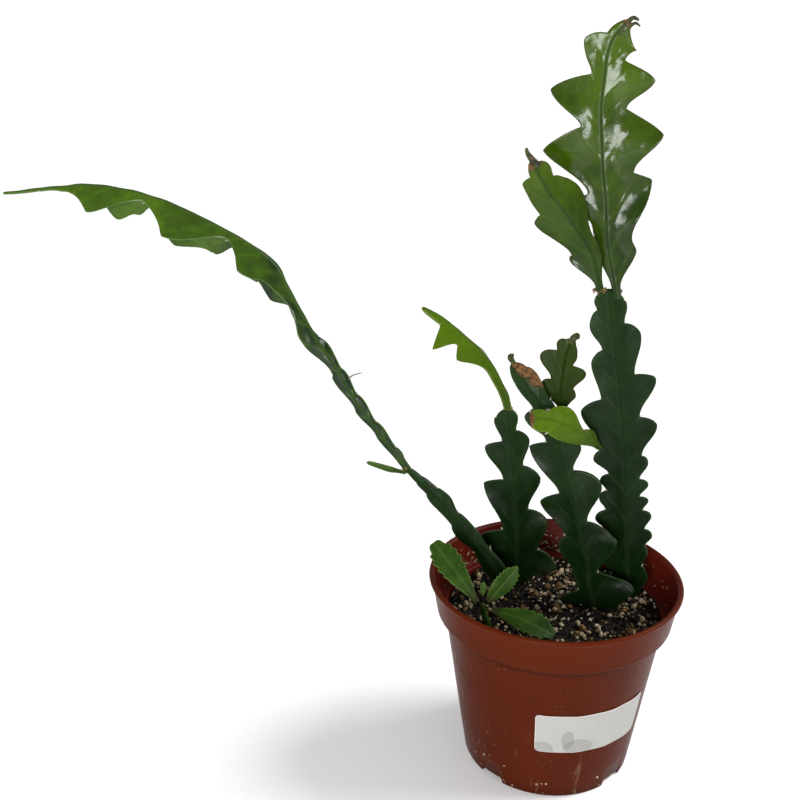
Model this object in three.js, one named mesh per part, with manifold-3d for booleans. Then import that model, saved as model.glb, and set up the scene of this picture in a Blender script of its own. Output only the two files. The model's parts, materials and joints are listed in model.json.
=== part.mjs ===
// Potted fishbone cactus in a four inch nursery pot.
// Millimetres, +Z up, the front faces -Y, the origin is the centre of the pot's underside.
import * as THREE from "three";
import { mergeVertices } from "three/addons/utils/BufferGeometryUtils.js";
import Module from "manifold-3d";

const wasm = await Module();
wasm.setup();

// ---- driving dimensions, mm ----
const POT_HEIGHT = 83.3;
const RIM_RADIUS = 52;
const COLLAR_HEIGHT = 16;
const COLLAR_FOOT_RADIUS = 48.4;
const COLLAR_TOP_RADIUS = 50.6;
const BODY_TOP_RADIUS = 45.2;
const BASE_RADIUS = 35.2;
const WALL = 1.2;
const FLOOR = 1.4;
const CENTRE_DISC_RADIUS = 20;
const RAISED_RING_RADIUS = 31.5;
const RAISED_RING_HEIGHT = 3;
const POT_SIDES = 72;
const NOTCH_DEGREES = [-127, -37, 53, 143];
const NOTCH_WIDTH = 11;
const NOTCH_HEIGHT = 2.8;

const SOIL_LEVEL = 67;
const SOIL_BOTTOM = 5.2;
const SOIL_SIDES = 40;
const GAP = 0.3;
const BURIED = 20;

const LABEL_FROM = -95.5;
const LABEL_TO = -27;
const LABEL_LOW = 25;
const LABEL_HIGH = 44;
const LABEL_THICKNESS = 0.3;

const STATION = 2.5;
const MID_SHARE = 0.68;

const radians = THREE.MathUtils.degToRad;
const lerp = THREE.MathUtils.lerp;
const vec = (x, y, z) => new THREE.Vector3(x, y, z);

// ---- materials ----
const paint = (color, roughness) =>
  new THREE.MeshStandardMaterial({ color, roughness, metalness: 0 });
const TERRACOTTA = paint(0x8a3c25, 0.5);
const PAPER = paint(0xd9d8d4, 0.6);
const SOIL = paint(0x2b1c12, 0.95);
const DARK_GREEN = paint(0x1c3a1a, 0.45);
const MID_GREEN = paint(0x2f5a22, 0.42);
const BRIGHT_GREEN = paint(0x5d8a2a, 0.4);
const LEAF_GREEN = paint(0x3f7a2c, 0.5);
const ROOT_BROWN = paint(0x55453c, 0.8);
const PERLITE = paint(0xcdbf9c, 0.85);
const BARK = paint(0x8a6334, 0.9);

// ---- solids ----

// A closed body from rings of equal length: each end is closed with a fan about its middle.
function ringBody(rings) {
  const count = rings[0].length;
  const points = rings.flat();
  const middle = (ring) => {
    const sum = ring.reduce((total, p) => total.clone().add(p), vec(0, 0, 0));
    return sum.divideScalar(ring.length);
  };
  const first = points.length;
  points.push(middle(rings[0]), middle(rings[rings.length - 1]));
  const index = [];
  for (let i = 0; i < rings.length - 1; i += 1) {
    for (let k = 0; k < count; k += 1) {
      const a = i * count + k;
      const b = i * count + ((k + 1) % count);
      index.push(a, b, b + count, a, b + count, a + count);
    }
  }
  const last = (rings.length - 1) * count;
  for (let k = 0; k < count; k += 1) {
    const next = (k + 1) % count;
    index.push(first, next, k, first + 1, last + k, last + next);
  }
  const geometry = new THREE.BufferGeometry().setFromPoints(points);
  geometry.setIndex(index);
  return facingOut(geometry);
}

// Turns a body whose faces point inwards round, by the sign of its volume.
function facingOut(geometry) {
  const p = geometry.getAttribute("position");
  const index = geometry.index.array;
  let volume = 0;
  for (let i = 0; i < index.length; i += 3) {
    const [a, b, c] = [0, 1, 2].map((k) => vec(0, 0, 0).fromBufferAttribute(p, index[i + k]));
    volume += a.dot(b.cross(c));
  }
  if (volume < 0) {
    for (let i = 0; i < index.length; i += 3) {
      const kept = index[i];
      index[i] = index[i + 1];
      index[i + 1] = kept;
    }
  }
  geometry.computeVertexNormals();
  return geometry;
}

function toSolid(geometry) {
  const bare = new THREE.BufferGeometry();
  const loose = geometry.index ? geometry.toNonIndexed() : geometry;
  bare.setAttribute("position", loose.getAttribute("position"));
  const merged = mergeVertices(bare, 1e-4);
  const mesh = new wasm.Mesh({
    numProp: 3,
    vertProperties: merged.attributes.position.array,
    triVerts: new Uint32Array(merged.index.array),
  });
  return new wasm.Manifold(mesh);
}

function toGeometry(solid) {
  const mesh = solid.getMesh();
  const geometry = new THREE.BufferGeometry();
  geometry.setAttribute("position", new THREE.BufferAttribute(mesh.vertProperties, 3));
  geometry.setIndex(new THREE.BufferAttribute(mesh.triVerts, 1));
  geometry.computeVertexNormals();
  return geometry;
}

function piece(name, geometry, material) {
  const mesh = new THREE.Mesh(geometry, material);
  mesh.name = name;
  return mesh;
}

// ---- pot ----
const bodyRadius = (z) => lerp(BASE_RADIUS, BODY_TOP_RADIUS, z / (POT_HEIGHT - COLLAR_HEIGHT));

function potGeometry() {
  const ledge = POT_HEIGHT - COLLAR_HEIGHT;
  const profile = [
    [0, 0],
    [CENTRE_DISC_RADIUS, 0],
    [CENTRE_DISC_RADIUS + 2.2, RAISED_RING_HEIGHT],
    [RAISED_RING_RADIUS, RAISED_RING_HEIGHT],
    [BASE_RADIUS - 2.2, 0],
    [BASE_RADIUS - 0.5, 0],
    [BASE_RADIUS, 0.5],
    [BODY_TOP_RADIUS, ledge],
    [COLLAR_FOOT_RADIUS - 0.4, ledge],
    [COLLAR_FOOT_RADIUS, ledge + 0.5],
    [COLLAR_TOP_RADIUS, POT_HEIGHT - 2.2],
    [RIM_RADIUS - 0.3, POT_HEIGHT - 1.8],
    [RIM_RADIUS, POT_HEIGHT - 0.9],
    [RIM_RADIUS - 0.6, POT_HEIGHT - 0.1],
    [RIM_RADIUS - 1.3, POT_HEIGHT],
    [COLLAR_TOP_RADIUS - WALL, POT_HEIGHT - 1],
    [COLLAR_FOOT_RADIUS - WALL, ledge + 1.1],
    [bodyRadius(ledge + 1) - WALL, ledge + 1],
    [bodyRadius(4.6) - WALL, 4.6],
    [RAISED_RING_RADIUS, RAISED_RING_HEIGHT + FLOOR],
    [CENTRE_DISC_RADIUS + 1.4, RAISED_RING_HEIGHT + FLOOR],
    [CENTRE_DISC_RADIUS - 0.8, FLOOR],
    [0, FLOOR],
  ];
  const lathe = new THREE.LatheGeometry(
    profile.map(([r, z]) => new THREE.Vector2(r, z)),
    POT_SIDES,
  );
  lathe.rotateX(Math.PI / 2);
  let pot = toSolid(lathe);
  for (const angle of NOTCH_DEGREES) {
    const cut = new THREE.BoxGeometry(8, NOTCH_WIDTH, NOTCH_HEIGHT * 2);
    cut.translate(BASE_RADIUS + 0.6, 0, 0);
    cut.rotateZ(radians(angle));
    pot = pot.subtract(toSolid(cut));
  }
  return toGeometry(pot);
}

function labelGeometry() {
  const rings = [];
  const steps = 14;
  for (let i = 0; i <= steps; i += 1) {
    const angle = radians(lerp(LABEL_FROM, LABEL_TO, i / steps));
    const at = (lift, z) => {
      const r = bodyRadius(z) + lift;
      return vec(r * Math.cos(angle), r * Math.sin(angle), z);
    };
    const low = GAP - 0.1;
    const high = low + LABEL_THICKNESS;
    rings.push([
      at(low, LABEL_LOW),
      at(high, LABEL_LOW),
      at(high, LABEL_HIGH),
      at(low, LABEL_HIGH),
    ]);
  }
  return ringBody(rings);
}

// ---- stems ----

// Axes of a stem's plane: across to the right, up, and out of the face towards the viewer.
function planeOf({ base, facing, lean = 0 }) {
  const turn = radians(facing);
  const tip = radians(lean);
  const level = vec(Math.cos(turn), Math.sin(turn), 0);
  const across = vec(-Math.sin(turn), Math.cos(turn), 0);
  const up = vec(0, 0, Math.cos(tip)).addScaledVector(level, Math.sin(tip));
  const out = across.clone().cross(up);
  const place = ([a, u, o = 0]) =>
    vec(...base).addScaledVector(across, a).addScaledVector(up, u).addScaledVector(out, o);
  return { out, place };
}

const bezier = (a, b, c, d, t) => {
  const s = 1 - t;
  return s * s * s * a + 3 * s * s * t * b + 3 * s * t * t * c + t * t * t * d;
};

// One margin at rib station s. The list alternates notch, tip, notch as [distance, reach].
// The margin leaves a notch along the rib, rounds the tip and comes back square to the rib.
function marginAt(list, s, length) {
  const [firstS, firstReach] = list[0];
  if (s <= firstS) return [s, lerp(firstReach, 3, Math.min(1, (firstS - s) / 8))];
  for (let i = 0; i + 2 < list.length; i += 2) {
    const [[s0, r0], [s1, r1], [s2, r2]] = list.slice(i, i + 3);
    if (s > s2) continue;
    const q = (s - s0) / (s2 - s0);
    if (q < 0.6) {
      const run = 0.35 * (s1 - s0);
      const t = q / 0.6;
      return [bezier(s0, s0 + run, s1 - run, s1, t), bezier(r0, r0, r1, r1, t)];
    }
    const t = (q - 0.6) / 0.4;
    const round = Math.min(2, 0.8 * (s2 - s1));
    return [bezier(s1, s1 + round, s2, s2, t), bezier(r1, r1, (r1 + r2) / 2, r2, t)];
  }
  const [lastS, lastReach] = list[list.length - 1];
  const share = (s - lastS) / Math.max(1e-6, length - lastS);
  return [s, lerp(lastReach, 0.8, share * share)];
}

// Angles of the two halves about the rib, degrees: 0 is the left of a flat blade, 180 its right.
function foldAt(fold, s) {
  let i = 0;
  while (i + 2 < fold.length && s > fold[i + 1][0]) i += 1;
  const [s0, left0, right0] = fold[i];
  const [s1, left1, right1] = fold[i + 1];
  const t = THREE.MathUtils.smoothstep(s, s0, s1);
  return [lerp(left0, left1, t), lerp(right0, right1, t)];
}

// A flat or folded blade about a curved rib, as rings of eight points.
function bladeGeometry(stem, grow = 0) {
  const { out, place } = planeOf(stem);
  const curve = new THREE.CatmullRomCurve3(stem.rib.map(place));
  const length = curve.getLength();
  curve.arcLengthDivisions = 600;
  const before = stem.buried ?? 0;
  const { rib = 2.2, mid = 0.85 } = stem.thickness ?? {};
  const fold = stem.fold ?? [
    [0, 0, 180],
    [1, 0, 180],
  ];
  const ribAt = (s) => {
    const share = THREE.MathUtils.clamp((s + before) / length, 0, 1);
    return { point: curve.getPointAt(share), along: curve.getTangentAt(share) };
  };
  const frameAt = (s) => {
    const { point, along } = ribAt(s);
    const left = out.clone().cross(along).normalize();
    const front = along.clone().cross(left).normalize();
    const [a, b] = foldAt(fold, s).map(radians);
    const towards = (angle) =>
      left.clone().multiplyScalar(Math.cos(angle)).addScaledVector(front, Math.sin(angle));
    const faceL = left.clone().multiplyScalar(-Math.sin(a)).addScaledVector(front, Math.cos(a));
    const faceR = left.clone().multiplyScalar(Math.sin(b)).addScaledVector(front, -Math.cos(b));
    return { point, leftWay: towards(a), rightWay: towards(b), faceL, faceR };
  };
  const top = length - before;
  const count = Math.max(6, Math.round(length / (stem.station ?? STATION)));
  const rings = [];
  for (let i = 0; i <= count; i += 1) {
    const s = lerp(-before, top, i / count);
    const here = frameAt(s);
    const face = here.faceL.clone().add(here.faceR).normalize();
    const taper = stem.taper ? Math.max(0.25, 1 - (s / top) ** 2 * stem.taper) : 1;
    const deep = rib * taper + grow;
    const thin = mid * taper + grow;
    const side = (list, way) => {
      const [at, reach] = marginAt(list, s, top);
      const there = frameAt(Math.min(top, Math.max(-before, at)));
      return there.point.addScaledVector(there[way], reach + grow);
    };
    const marginL = side(stem.left, "leftWay");
    const marginR = side(stem.right, "rightWay");
    const midL = here.point.clone().lerp(marginL, MID_SHARE);
    const midR = here.point.clone().lerp(marginR, MID_SHARE);
    rings.push([
      marginL,
      midL.clone().addScaledVector(here.faceL, thin),
      here.point.clone().addScaledVector(face, deep),
      midR.clone().addScaledVector(here.faceR, thin),
      marginR,
      midR.clone().addScaledVector(here.faceR, -thin),
      here.point.clone().addScaledVector(face, -deep),
      midL.clone().addScaledVector(here.faceL, -thin),
    ]);
  }
  if (stem.buried) for (const p of rings[0]) p.z -= grow;
  return ringBody(rings);
}

const SOWN = [0, -BURIED];

const STEMS = {
  stem_right_lower: {
    material: DARK_GREEN, base: [29, 14, 67], facing: -88, buried: BURIED,
    rib: [SOWN, [2, 0], [0, 27], [-2, 45], [-4, 67.5], [-7, 88.5], [-10.5, 109.5], [-13, 121.5], [-14.5, 131.5]],
    left: [[3, 5], [8, 9], [11, 6.5], [18, 10], [21, 7], [28, 11], [31, 7.5], [38, 12.5], [41.5, 8],
      [46.5, 10.5], [50, 7.5], [54.5, 10], [57.5, 6.5], [64.5, 12.5], [68.5, 9], [86, 16], [90.5, 7.5],
      [105.5, 10], [111, 5], [121, 8.5], [127, 5], [131, 6], [132, 5]],
    right: [[2, 5], [9, 8.5], [15, 6], [20.5, 8.5], [24.5, 7.5], [29, 10.5], [32, 7.5], [37.5, 10.5], [40.5, 7],
      [45, 9.5], [47, 6], [52.5, 9.5], [55, 6], [62, 9.5], [65, 7], [77.5, 13.5], [81.5, 7], [96.5, 14.5],
      [99.5, 6.5], [115, 10.5], [120.5, 5], [128, 7], [132, 5]],
  },
  stem_right_upper: {
    material: BRIGHT_GREEN, base: [17, 13.7, 200.4], facing: -96, thickness: { rib: 1.9, mid: 0.8 }, taper: 0.5,
    rib: [[0, 0], [-4.5, 19.5], [-6, 34], [-7.5, 43], [-9, 56], [-10, 67], [-9.5, 78], [-9, 85.5], [-7, 91.5], [-2, 97]],
    left: [[1.5, 1.6], [16.5, 5], [24.5, 5.5], [34, 12], [38, 6.5], [54.5, 22], [62, 7.5], [73, 19.5], [79.5, 5],
      [89, 9.5], [92.5, 3]],
    right: [[0.5, 2], [13.5, 10], [18, 9], [39, 17], [43.5, 11], [56.5, 22], [67.5, 9], [78.5, 18], [85, 6.5],
      [93, 9.5], [98, 2.5]],
  },
  stem_right_side_shoot: {
    material: BRIGHT_GREEN, base: [10.8, 12.6, 200.6], facing: -80, lean: 5, thickness: { rib: 1.6, mid: 0.75 },
    taper: 0.5, fold: [[0, -12, 192], [20, -25, 205]],
    rib: [[0, 0.5], [-4.5, 14.5], [-11.5, 24.5], [-17, 32], [-22, 37.5], [-26, 44], [-29, 49.5]],
    left: [[1, 1.5], [14.5, 9], [16.5, 7.5], [35.5, 12.5], [38.5, 8.5], [49, 8], [51.5, 3.5]],
    right: [[1, 1.5], [17, 4.5], [19, 4], [37, 11], [47.5, 5], [51.5, 5.5], [55.5, 2]],
  },
  stem_right_low_shoot: {
    material: BRIGHT_GREEN, base: [14.6, 11.6, 136.2], facing: -90, lean: -30, thickness: { rib: 1.4, mid: 0.8 },
    rib: [[0, 0, 0], [-5.5, 2, 9], [-14, 5, 17.5], [-21.5, 6, 21.5], [-27.5, 5.5, 23.5]],
    left: [[0.5, 1.4], [24, 6.5], [30, 5], [33, 5.2], [37.5, 3]],
    right: [[0.5, 1.4], [8, 4], [13, 2], [24, 7.2], [30.5, 3.6], [34, 3.9], [37.5, 3]],
  },
  stem_middle_lower: {
    material: DARK_GREEN, base: [17.5, 3.8, 67], facing: -97, buried: BURIED, taper: 0.35,
    rib: [[1, -BURIED], [0, 0], [-3, 12], [-4, 21], [-7, 30], [-10, 43], [-12.5, 52], [-15.5, 60.5], [-18, 68.5],
      [-20.5, 77], [-24, 83], [-27.5, 89], [-32.5, 95], [-36.5, 100], [-39.5, 103.5]],
    left: [[1.5, 6], [4, 16.5], [8.5, 5], [29, 10.5], [33.5, 6.5], [49.5, 14.5], [53, 5.5], [74, 12.5], [75.5, 5],
      [89, 9], [92, 4], [100.5, 4.5], [105, 4]],
    right: [[0.5, 10], [5.5, 17.5], [16.5, 3.5], [28, 14], [39, 3.5], [54.5, 12.5], [61.5, 3], [71.5, 8.5], [76, 5],
      [89, 4.5], [92, 4], [104, 6], [108, 4]],
  },
  stem_middle_upper: {
    material: MID_GREEN, base: [-0.7, 10.2, 151.5], facing: -91, thickness: { rib: 1.4, mid: 0.75 }, taper: 0.3,
    rib: [[0, 0], [-1, 7], [-0.5, 15.5], [0.5, 24], [2.5, 30]],
    left: [[1, 1.8], [10, 8], [12.5, 4.5], [21, 10], [24, 4], [26.5, 5], [29, 2]],
    right: [[0.5, 2], [5.5, 6], [9, 5], [16, 9], [19, 3.5], [22.5, 4.5], [28, 2.3]],
  },
  stem_left_lower: {
    material: DARK_GREEN, base: [-16.4, 20.5, 67], facing: -87, buried: BURIED, taper: 0.2,
    rib: [[0.5, -BURIED], [0, 0], [-0.5, 19], [-2, 38], [-3.5, 52], [-5, 65.5], [-6.5, 78.5]],
    left: [[3, 5], [20.5, 16], [24.5, 6], [46.5, 13], [48.5, 4.5], [64, 11], [66, 3.5], [75.5, 6.5], [78, 2]],
    right: [[1.5, 6], [6, 17.5], [15, 9], [28.5, 13.5], [34, 5.5], [48.5, 11.5], [54.5, 4.5], [65.5, 8], [70.5, 2.5],
      [76, 3.5], [78.5, 2]],
  },
  stem_left_upper: {
    material: BRIGHT_GREEN, base: [-22.9, 20.3, 146.4], facing: -85, thickness: { rib: 1.2, mid: 0.6 }, taper: 0.3,
    fold: [[0, 20, 160], [12, 38, 322]],
    rib: [[0, 0.5], [-3.5, 11], [-7.5, 18.5], [-13, 25.5], [-20.5, 32], [-28.5, 38.5], [-36.5, 43]],
    left: [[2, 1.8], [15, 3], [19, 3], [34, 11], [37, 5], [44.5, 14], [49, 4]],
    right: [[2, 1.8], [9, 2.5], [12, 2.5], [26, 9], [30, 3.5], [40, 9], [44, 3]],
  },
  stem_long_lower: {
    material: DARK_GREEN, base: [-22, 10.5, 67], facing: -90, buried: BURIED, thickness: { rib: 1.9, mid: 0.8 },
    rib: [[4, -BURIED], [0.5, -0.5], [-1.5, 8], [-8, 17.5], [-14, 24.5], [-20, 32.5], [-25.5, 39], [-32, 45.5], [-40, 52.5]],
    left: [[2, 4], [13, 5.5], [22.5, 3.5], [33.5, 5.5], [38, 4], [51, 5], [56.5, 3], [62, 3.5], [66, 2]],
    right: [[2, 3.5], [8, 4], [20, 3], [30, 4], [41, 2], [49.5, 4], [55, 3], [60, 3], [66, 1.5]],
  },
  stem_long_upper: {
    material: MID_GREEN, base: [-64.6, 10.5, 121.6], facing: -90, thickness: { rib: 1.2, mid: 0.5 }, taper: 0.6,
    fold: [[0, 5, 175], [55, 15, 190], [80, 36, 322]],
    rib: [[0, 0.5], [-4.5, 6.5], [-11.5, 15.5], [-18.5, 25], [-24.5, 34], [-31, 45], [-37.5, 53.5], [-41.5, 61],
      [-46, 69.5], [-49.5, 76.5], [-53.5, 84.5], [-64, 92], [-74, 97.5], [-85.5, 103], [-97.5, 108], [-114, 112.5],
      [-133, 114.5], [-142, 113.5], [-149.5, 113], [-160.5, 111.5], [-170, 110.5]],
    left: [[2, 1.8], [16, 3.2], [20, 2.4], [30, 4], [34, 3], [47, 4.5], [50, 3], [70, 6], [81, 3.2], [111, 14],
      [121, 3], [149, 16.5], [159, 3], [186, 13], [193, 3], [200, 4], [206, 1.4]],
    right: [[2, 1.8], [6, 2.6], [9, 1.8], [19, 2.8], [23, 1.8], [33, 3], [37, 2], [46, 3], [50, 2], [62, 3.5],
      [66, 2.6], [76, 5.5], [82, 4], [109, 15], [117, 4], [147, 20], [158, 4], [176, 14], [181, 4], [192, 5], [200, 1.4]],
  },
  stem_long_side_shoot: {
    material: MID_GREEN, base: [-67, 10.5, 119.5], facing: -90, thickness: { rib: 1.1, mid: 0.8 }, taper: 0.5,
    rib: [[0, 0], [-5, 0.8], [-10, 2], [-14.5, 3.2]],
    left: [[0.5, 0.9], [4, 1.4], [14, 0.8]],
    right: [[0.5, 0.9], [4, 1.4], [14, 0.8]],
  },
};

// ---- seedling ----
// Leaves lie on their own planes: each has a root, a tip, a face direction and a half width.
const LEAVES = {
  seedling_leaf_left: { root: [-30, -19.5, 77.6], tip: [-49.5, -9, 97.5], face: [0.25, -0.75, 0.6], half: 5.6, sag: 1.2 },
  seedling_leaf_right: { root: [-23.8, -21, 75.6], tip: [1.5, -28.5, 71.6], face: [0.05, -0.45, 0.9], half: 5.4, sag: 2 },
  seedling_leaf_upright: { root: [-25.8, -19.8, 79], tip: [-14.6, -16, 93.6], face: [0.3, -0.9, 0.3], half: 3.9, sag: 0.6 },
  seedling_leaf_bud: { root: [-28, -16.4, 79.4], tip: [-27.9, -15.6, 85], face: [0, -1, 0.2], half: 1.3, sag: 0.2 },
};

function leafGeometry({ root, tip, face, half, sag }) {
  const start = vec(...root);
  const along = vec(...tip).sub(start);
  const length = along.length();
  along.normalize();
  const side = vec(...face).cross(along).normalize();
  const up = along.clone().cross(side).normalize();
  const rings = [];
  const count = 12;
  for (let i = 0; i <= count; i += 1) {
    const t = i / count;
    const width = half * Math.max(0.22, Math.sin(Math.PI * (0.06 + 0.82 * t ** 0.95)) ** 0.9);
    const thick = 0.75 - 0.35 * t;
    const middle = start.clone().addScaledVector(along, t * length);
    middle.addScaledVector(up, sag * Math.sin(Math.PI * t));
    const at = (w, h) =>
      middle.clone().addScaledVector(side, w * width).addScaledVector(up, h * thick + 0.12 * width * w * w);
    rings.push([at(1, 0), at(0.5, 0.8), at(0, 0.7), at(-0.5, 0.8), at(-1, 0), at(-0.5, -0.8), at(0, -1), at(0.5, -0.8)]);
  }
  return ringBody(rings);
}

function tubeGeometry(points, radii, sides) {
  const curve = new THREE.CatmullRomCurve3(points.map((p) => vec(...p)));
  const count = radii.length - 1;
  const frames = curve.computeFrenetFrames(count);
  const rings = radii.map((radius, i) => {
    const middle = curve.getPointAt(i / count);
    const ring = [];
    for (let k = 0; k < sides; k += 1) {
      const angle = (2 * Math.PI * k) / sides;
      const spoke = frames.normals[i].clone().multiplyScalar(radius * Math.cos(angle));
      ring.push(spoke.addScaledVector(frames.binormals[i], radius * Math.sin(angle)).add(middle));
    }
    return ring;
  });
  return ringBody(rings);
}

const SEEDLING_STEM = [[-24.5, -20.5, 58], [-25.5, -20, 68], [-27, -19.5, 73], [-27.8, -19, 77]];
const AERIAL_ROOT = [[-88.3, 10.3, 160], [-87.2, 10, 160.9], [-85.5, 9.8, 161.8], [-82.2, 9.6, 162.8]];

// ---- soil ----
function soilHeight(x, y) {
  const slope = 0.9 * Math.tanh((x - y) / 40);
  const lumps = 0.5 * Math.sin(x * 0.23 + 1) * Math.cos(y * 0.27) + 0.3 * Math.sin(x * 0.41 - y * 0.37);
  return SOIL_LEVEL + slope + lumps;
}

function soilGeometry(pockets) {
  const ring = (radius, height) => {
    const points = [];
    for (let k = 0; k < SOIL_SIDES; k += 1) {
      const angle = (2 * Math.PI * k) / SOIL_SIDES;
      const [x, y] = [radius * Math.cos(angle), radius * Math.sin(angle)];
      points.push(vec(x, y, height ?? soilHeight(x, y)));
    }
    return points;
  };
  const inner = (z) => bodyRadius(z) - WALL - GAP;
  const rings = [
    ring(8, SOIL_BOTTOM),
    ring(inner(SOIL_BOTTOM), SOIL_BOTTOM),
    ring(inner(60), 60),
    ring(inner(64.5)),
    ring(38),
    ring(31),
    ring(24),
    ring(16),
    ring(8),
    ring(3),
  ];
  let soil = toSolid(ringBody(rings));
  for (const pocket of pockets) soil = soil.subtract(toSolid(pocket));
  return toGeometry(soil);
}

// ---- loose chips on the soil: place, size, turn ----
const CHIPS = [
  [31, -17, 2.4, BARK],
  [36.5, -6, 1.8, PERLITE],
  [22, -27, 2, PERLITE],
  [7, -37, 2.1, BARK],
  [37, 9, 1.9, PERLITE],
  [-3, -13, 1.8, PERLITE],
  [-12, -5, 2.2, BARK],
  [-36, -4, 1.9, PERLITE],
  [3, 30, 2.1, PERLITE],
  [26, 29, 2, BARK],
  [-33, 21, 1.8, PERLITE],
  [12, -22, 1.7, PERLITE],
];

function chipGeometry(x, y, size, turn) {
  const chip = new THREE.IcosahedronGeometry(size, 0);
  chip.scale(1, 0.8, 0.62);
  chip.rotateZ(turn);
  chip.translate(x, y, soilHeight(x, y) + size * 0.62 + 0.5);
  return chip;
}

// ---- assembly ----
const plant = new THREE.Group();
plant.name = "potted_fishbone_cactus";

const container = new THREE.Group();
container.name = "container";
container.add(piece("pot", potGeometry(), TERRACOTTA));
container.add(piece("pot_label", labelGeometry(), PAPER));

const cactus = new THREE.Group();
cactus.name = "cactus";
const pockets = [];
for (const [name, stem] of Object.entries(STEMS)) {
  cactus.add(piece(name, bladeGeometry(stem), stem.material));
  if (stem.buried) pockets.push(bladeGeometry(stem, 0.5));
}
cactus.add(piece("aerial_root", tubeGeometry(AERIAL_ROOT, [0.35, 0.35, 0.3, 0.25, 0.2], 6), ROOT_BROWN));

const seedling = new THREE.Group();
seedling.name = "seedling";
seedling.add(piece("seedling_stem", tubeGeometry(SEEDLING_STEM, [1.3, 1.4, 1.5, 1.5, 1.4, 1.2], 8), LEAF_GREEN));
pockets.push(tubeGeometry(SEEDLING_STEM, [1.7, 1.8, 1.9, 1.9, 1.8, 1.6], 8).translate(0, 0, -0.4));
for (const [name, leaf] of Object.entries(LEAVES)) {
  seedling.add(piece(name, leafGeometry(leaf), LEAF_GREEN));
}

const ground = new THREE.Group();
ground.name = "ground";
ground.add(piece("soil", soilGeometry(pockets), SOIL));
CHIPS.forEach(([x, y, size, material], i) => {
  const name = `soil_chip_${i + 1}`;
  ground.add(piece(name, chipGeometry(x, y, size, i * 0.7), material));
});

plant.add(container, ground, cactus, seedling);

export default plant;
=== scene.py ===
"""Potted fishbone cactus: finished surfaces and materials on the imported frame."""

import json
import math

import bpy
import numpy as np
from mathutils import Matrix, Vector


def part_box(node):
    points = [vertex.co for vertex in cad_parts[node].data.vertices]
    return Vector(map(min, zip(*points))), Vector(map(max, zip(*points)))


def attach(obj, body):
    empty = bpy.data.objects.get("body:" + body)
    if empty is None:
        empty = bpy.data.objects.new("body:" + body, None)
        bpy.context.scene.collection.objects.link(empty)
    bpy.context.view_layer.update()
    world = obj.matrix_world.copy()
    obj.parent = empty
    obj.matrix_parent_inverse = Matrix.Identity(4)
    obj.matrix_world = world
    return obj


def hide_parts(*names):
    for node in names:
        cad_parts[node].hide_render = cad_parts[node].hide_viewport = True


bl_info = {
    "name": "Potted Fishbone Cactus",
    "version": (1, 0, 0),
    "blender": (4, 5, 0),
    "location": "View3D > Sidebar > Cactus",
    "description": "Builds a fishbone cactus in a nursery pot, with node materials",
    "category": "Add Mesh",
}

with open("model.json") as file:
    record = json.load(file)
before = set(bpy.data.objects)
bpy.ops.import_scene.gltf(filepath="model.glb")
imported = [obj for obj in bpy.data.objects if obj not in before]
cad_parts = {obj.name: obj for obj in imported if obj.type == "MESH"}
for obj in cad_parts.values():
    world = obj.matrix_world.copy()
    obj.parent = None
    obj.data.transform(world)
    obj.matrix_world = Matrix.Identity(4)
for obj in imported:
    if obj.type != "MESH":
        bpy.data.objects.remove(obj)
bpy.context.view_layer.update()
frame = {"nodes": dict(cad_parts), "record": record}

MM = 0.001
ROUND = 2 * math.pi
POT_LOW, POT_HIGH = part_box("pot")
POT_X = (POT_LOW.x + POT_HIGH.x) / 2 / MM
POT_Y = (POT_LOW.y + POT_HIGH.y) / 2 / MM
POT_FOOT = POT_LOW.z / MM
POT_HEIGHT = (POT_HIGH.z - POT_LOW.z) / MM
RIM_RADIUS = (POT_HIGH.x - POT_LOW.x) / 2 / MM
SOIL_UNDER_RIM = 16.3
SOIL_LEVEL = POT_FOOT + POT_HEIGHT - SOIL_UNDER_RIM
SOIL_MIDDLE = np.array((POT_X, POT_Y, SOIL_LEVEL))
LABEL_LOW, LABEL_HIGH = (corner.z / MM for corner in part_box("pot_label"))

# Distances are in millimetres. The pot's own are measured from the middle of its underside.
COLLAR_HEIGHT = 16.0
COLLAR_FOOT = RIM_RADIUS - 3.6
COLLAR_TOP = RIM_RADIUS - 1.4
BODY_TOP = RIM_RADIUS - 6.8
BODY_FOOT = RIM_RADIUS - 16.8
WALL = 1.2
LEDGE = POT_HEIGHT - COLLAR_HEIGHT
RIM_LIP = 2.4
COLLAR_SLOPE = (COLLAR_TOP - COLLAR_FOOT) / (COLLAR_HEIGHT - RIM_LIP)
NOTCH_DEGREES = (-127, -37, 53, 143)
NOTCH_HALF_WIDTH = 5.5
NOTCH_HEIGHT = 2.8


# ---- mesh building ----


def unit(vectors):
    """Each row divided by its own length."""
    return vectors / np.maximum(np.linalg.norm(vectors, axis=-1, keepdims=True), 1e-12)


def ease(values, low, high):
    """0 below low, 1 above high, and the cubic 3t^2 - 2t^3 between."""
    t = np.clip((values - low) / (high - low), 0, 1)
    return t * t * (3 - 2 * t)


def bell(values, middle, width):
    """1 at the middle and falling as exp(-(distance / width)^2)."""
    return np.exp(-(((values - middle) / width) ** 2))


def lumps(x, y, z, size, seed):
    """Smooth noise near -1..1: eight sine waves of random direction, about one bump per size."""
    rng = np.random.default_rng(seed)
    total = np.zeros(np.broadcast(x, y, z).shape)
    for _ in range(8):
        way = unit(rng.normal(size=3)) * rng.uniform(0.7, 1.6) * 2 * math.pi / size
        total = total + np.sin(x * way[0] + y * way[1] + z * way[2] + rng.uniform(0, 6.28))
    return total / 4


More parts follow.
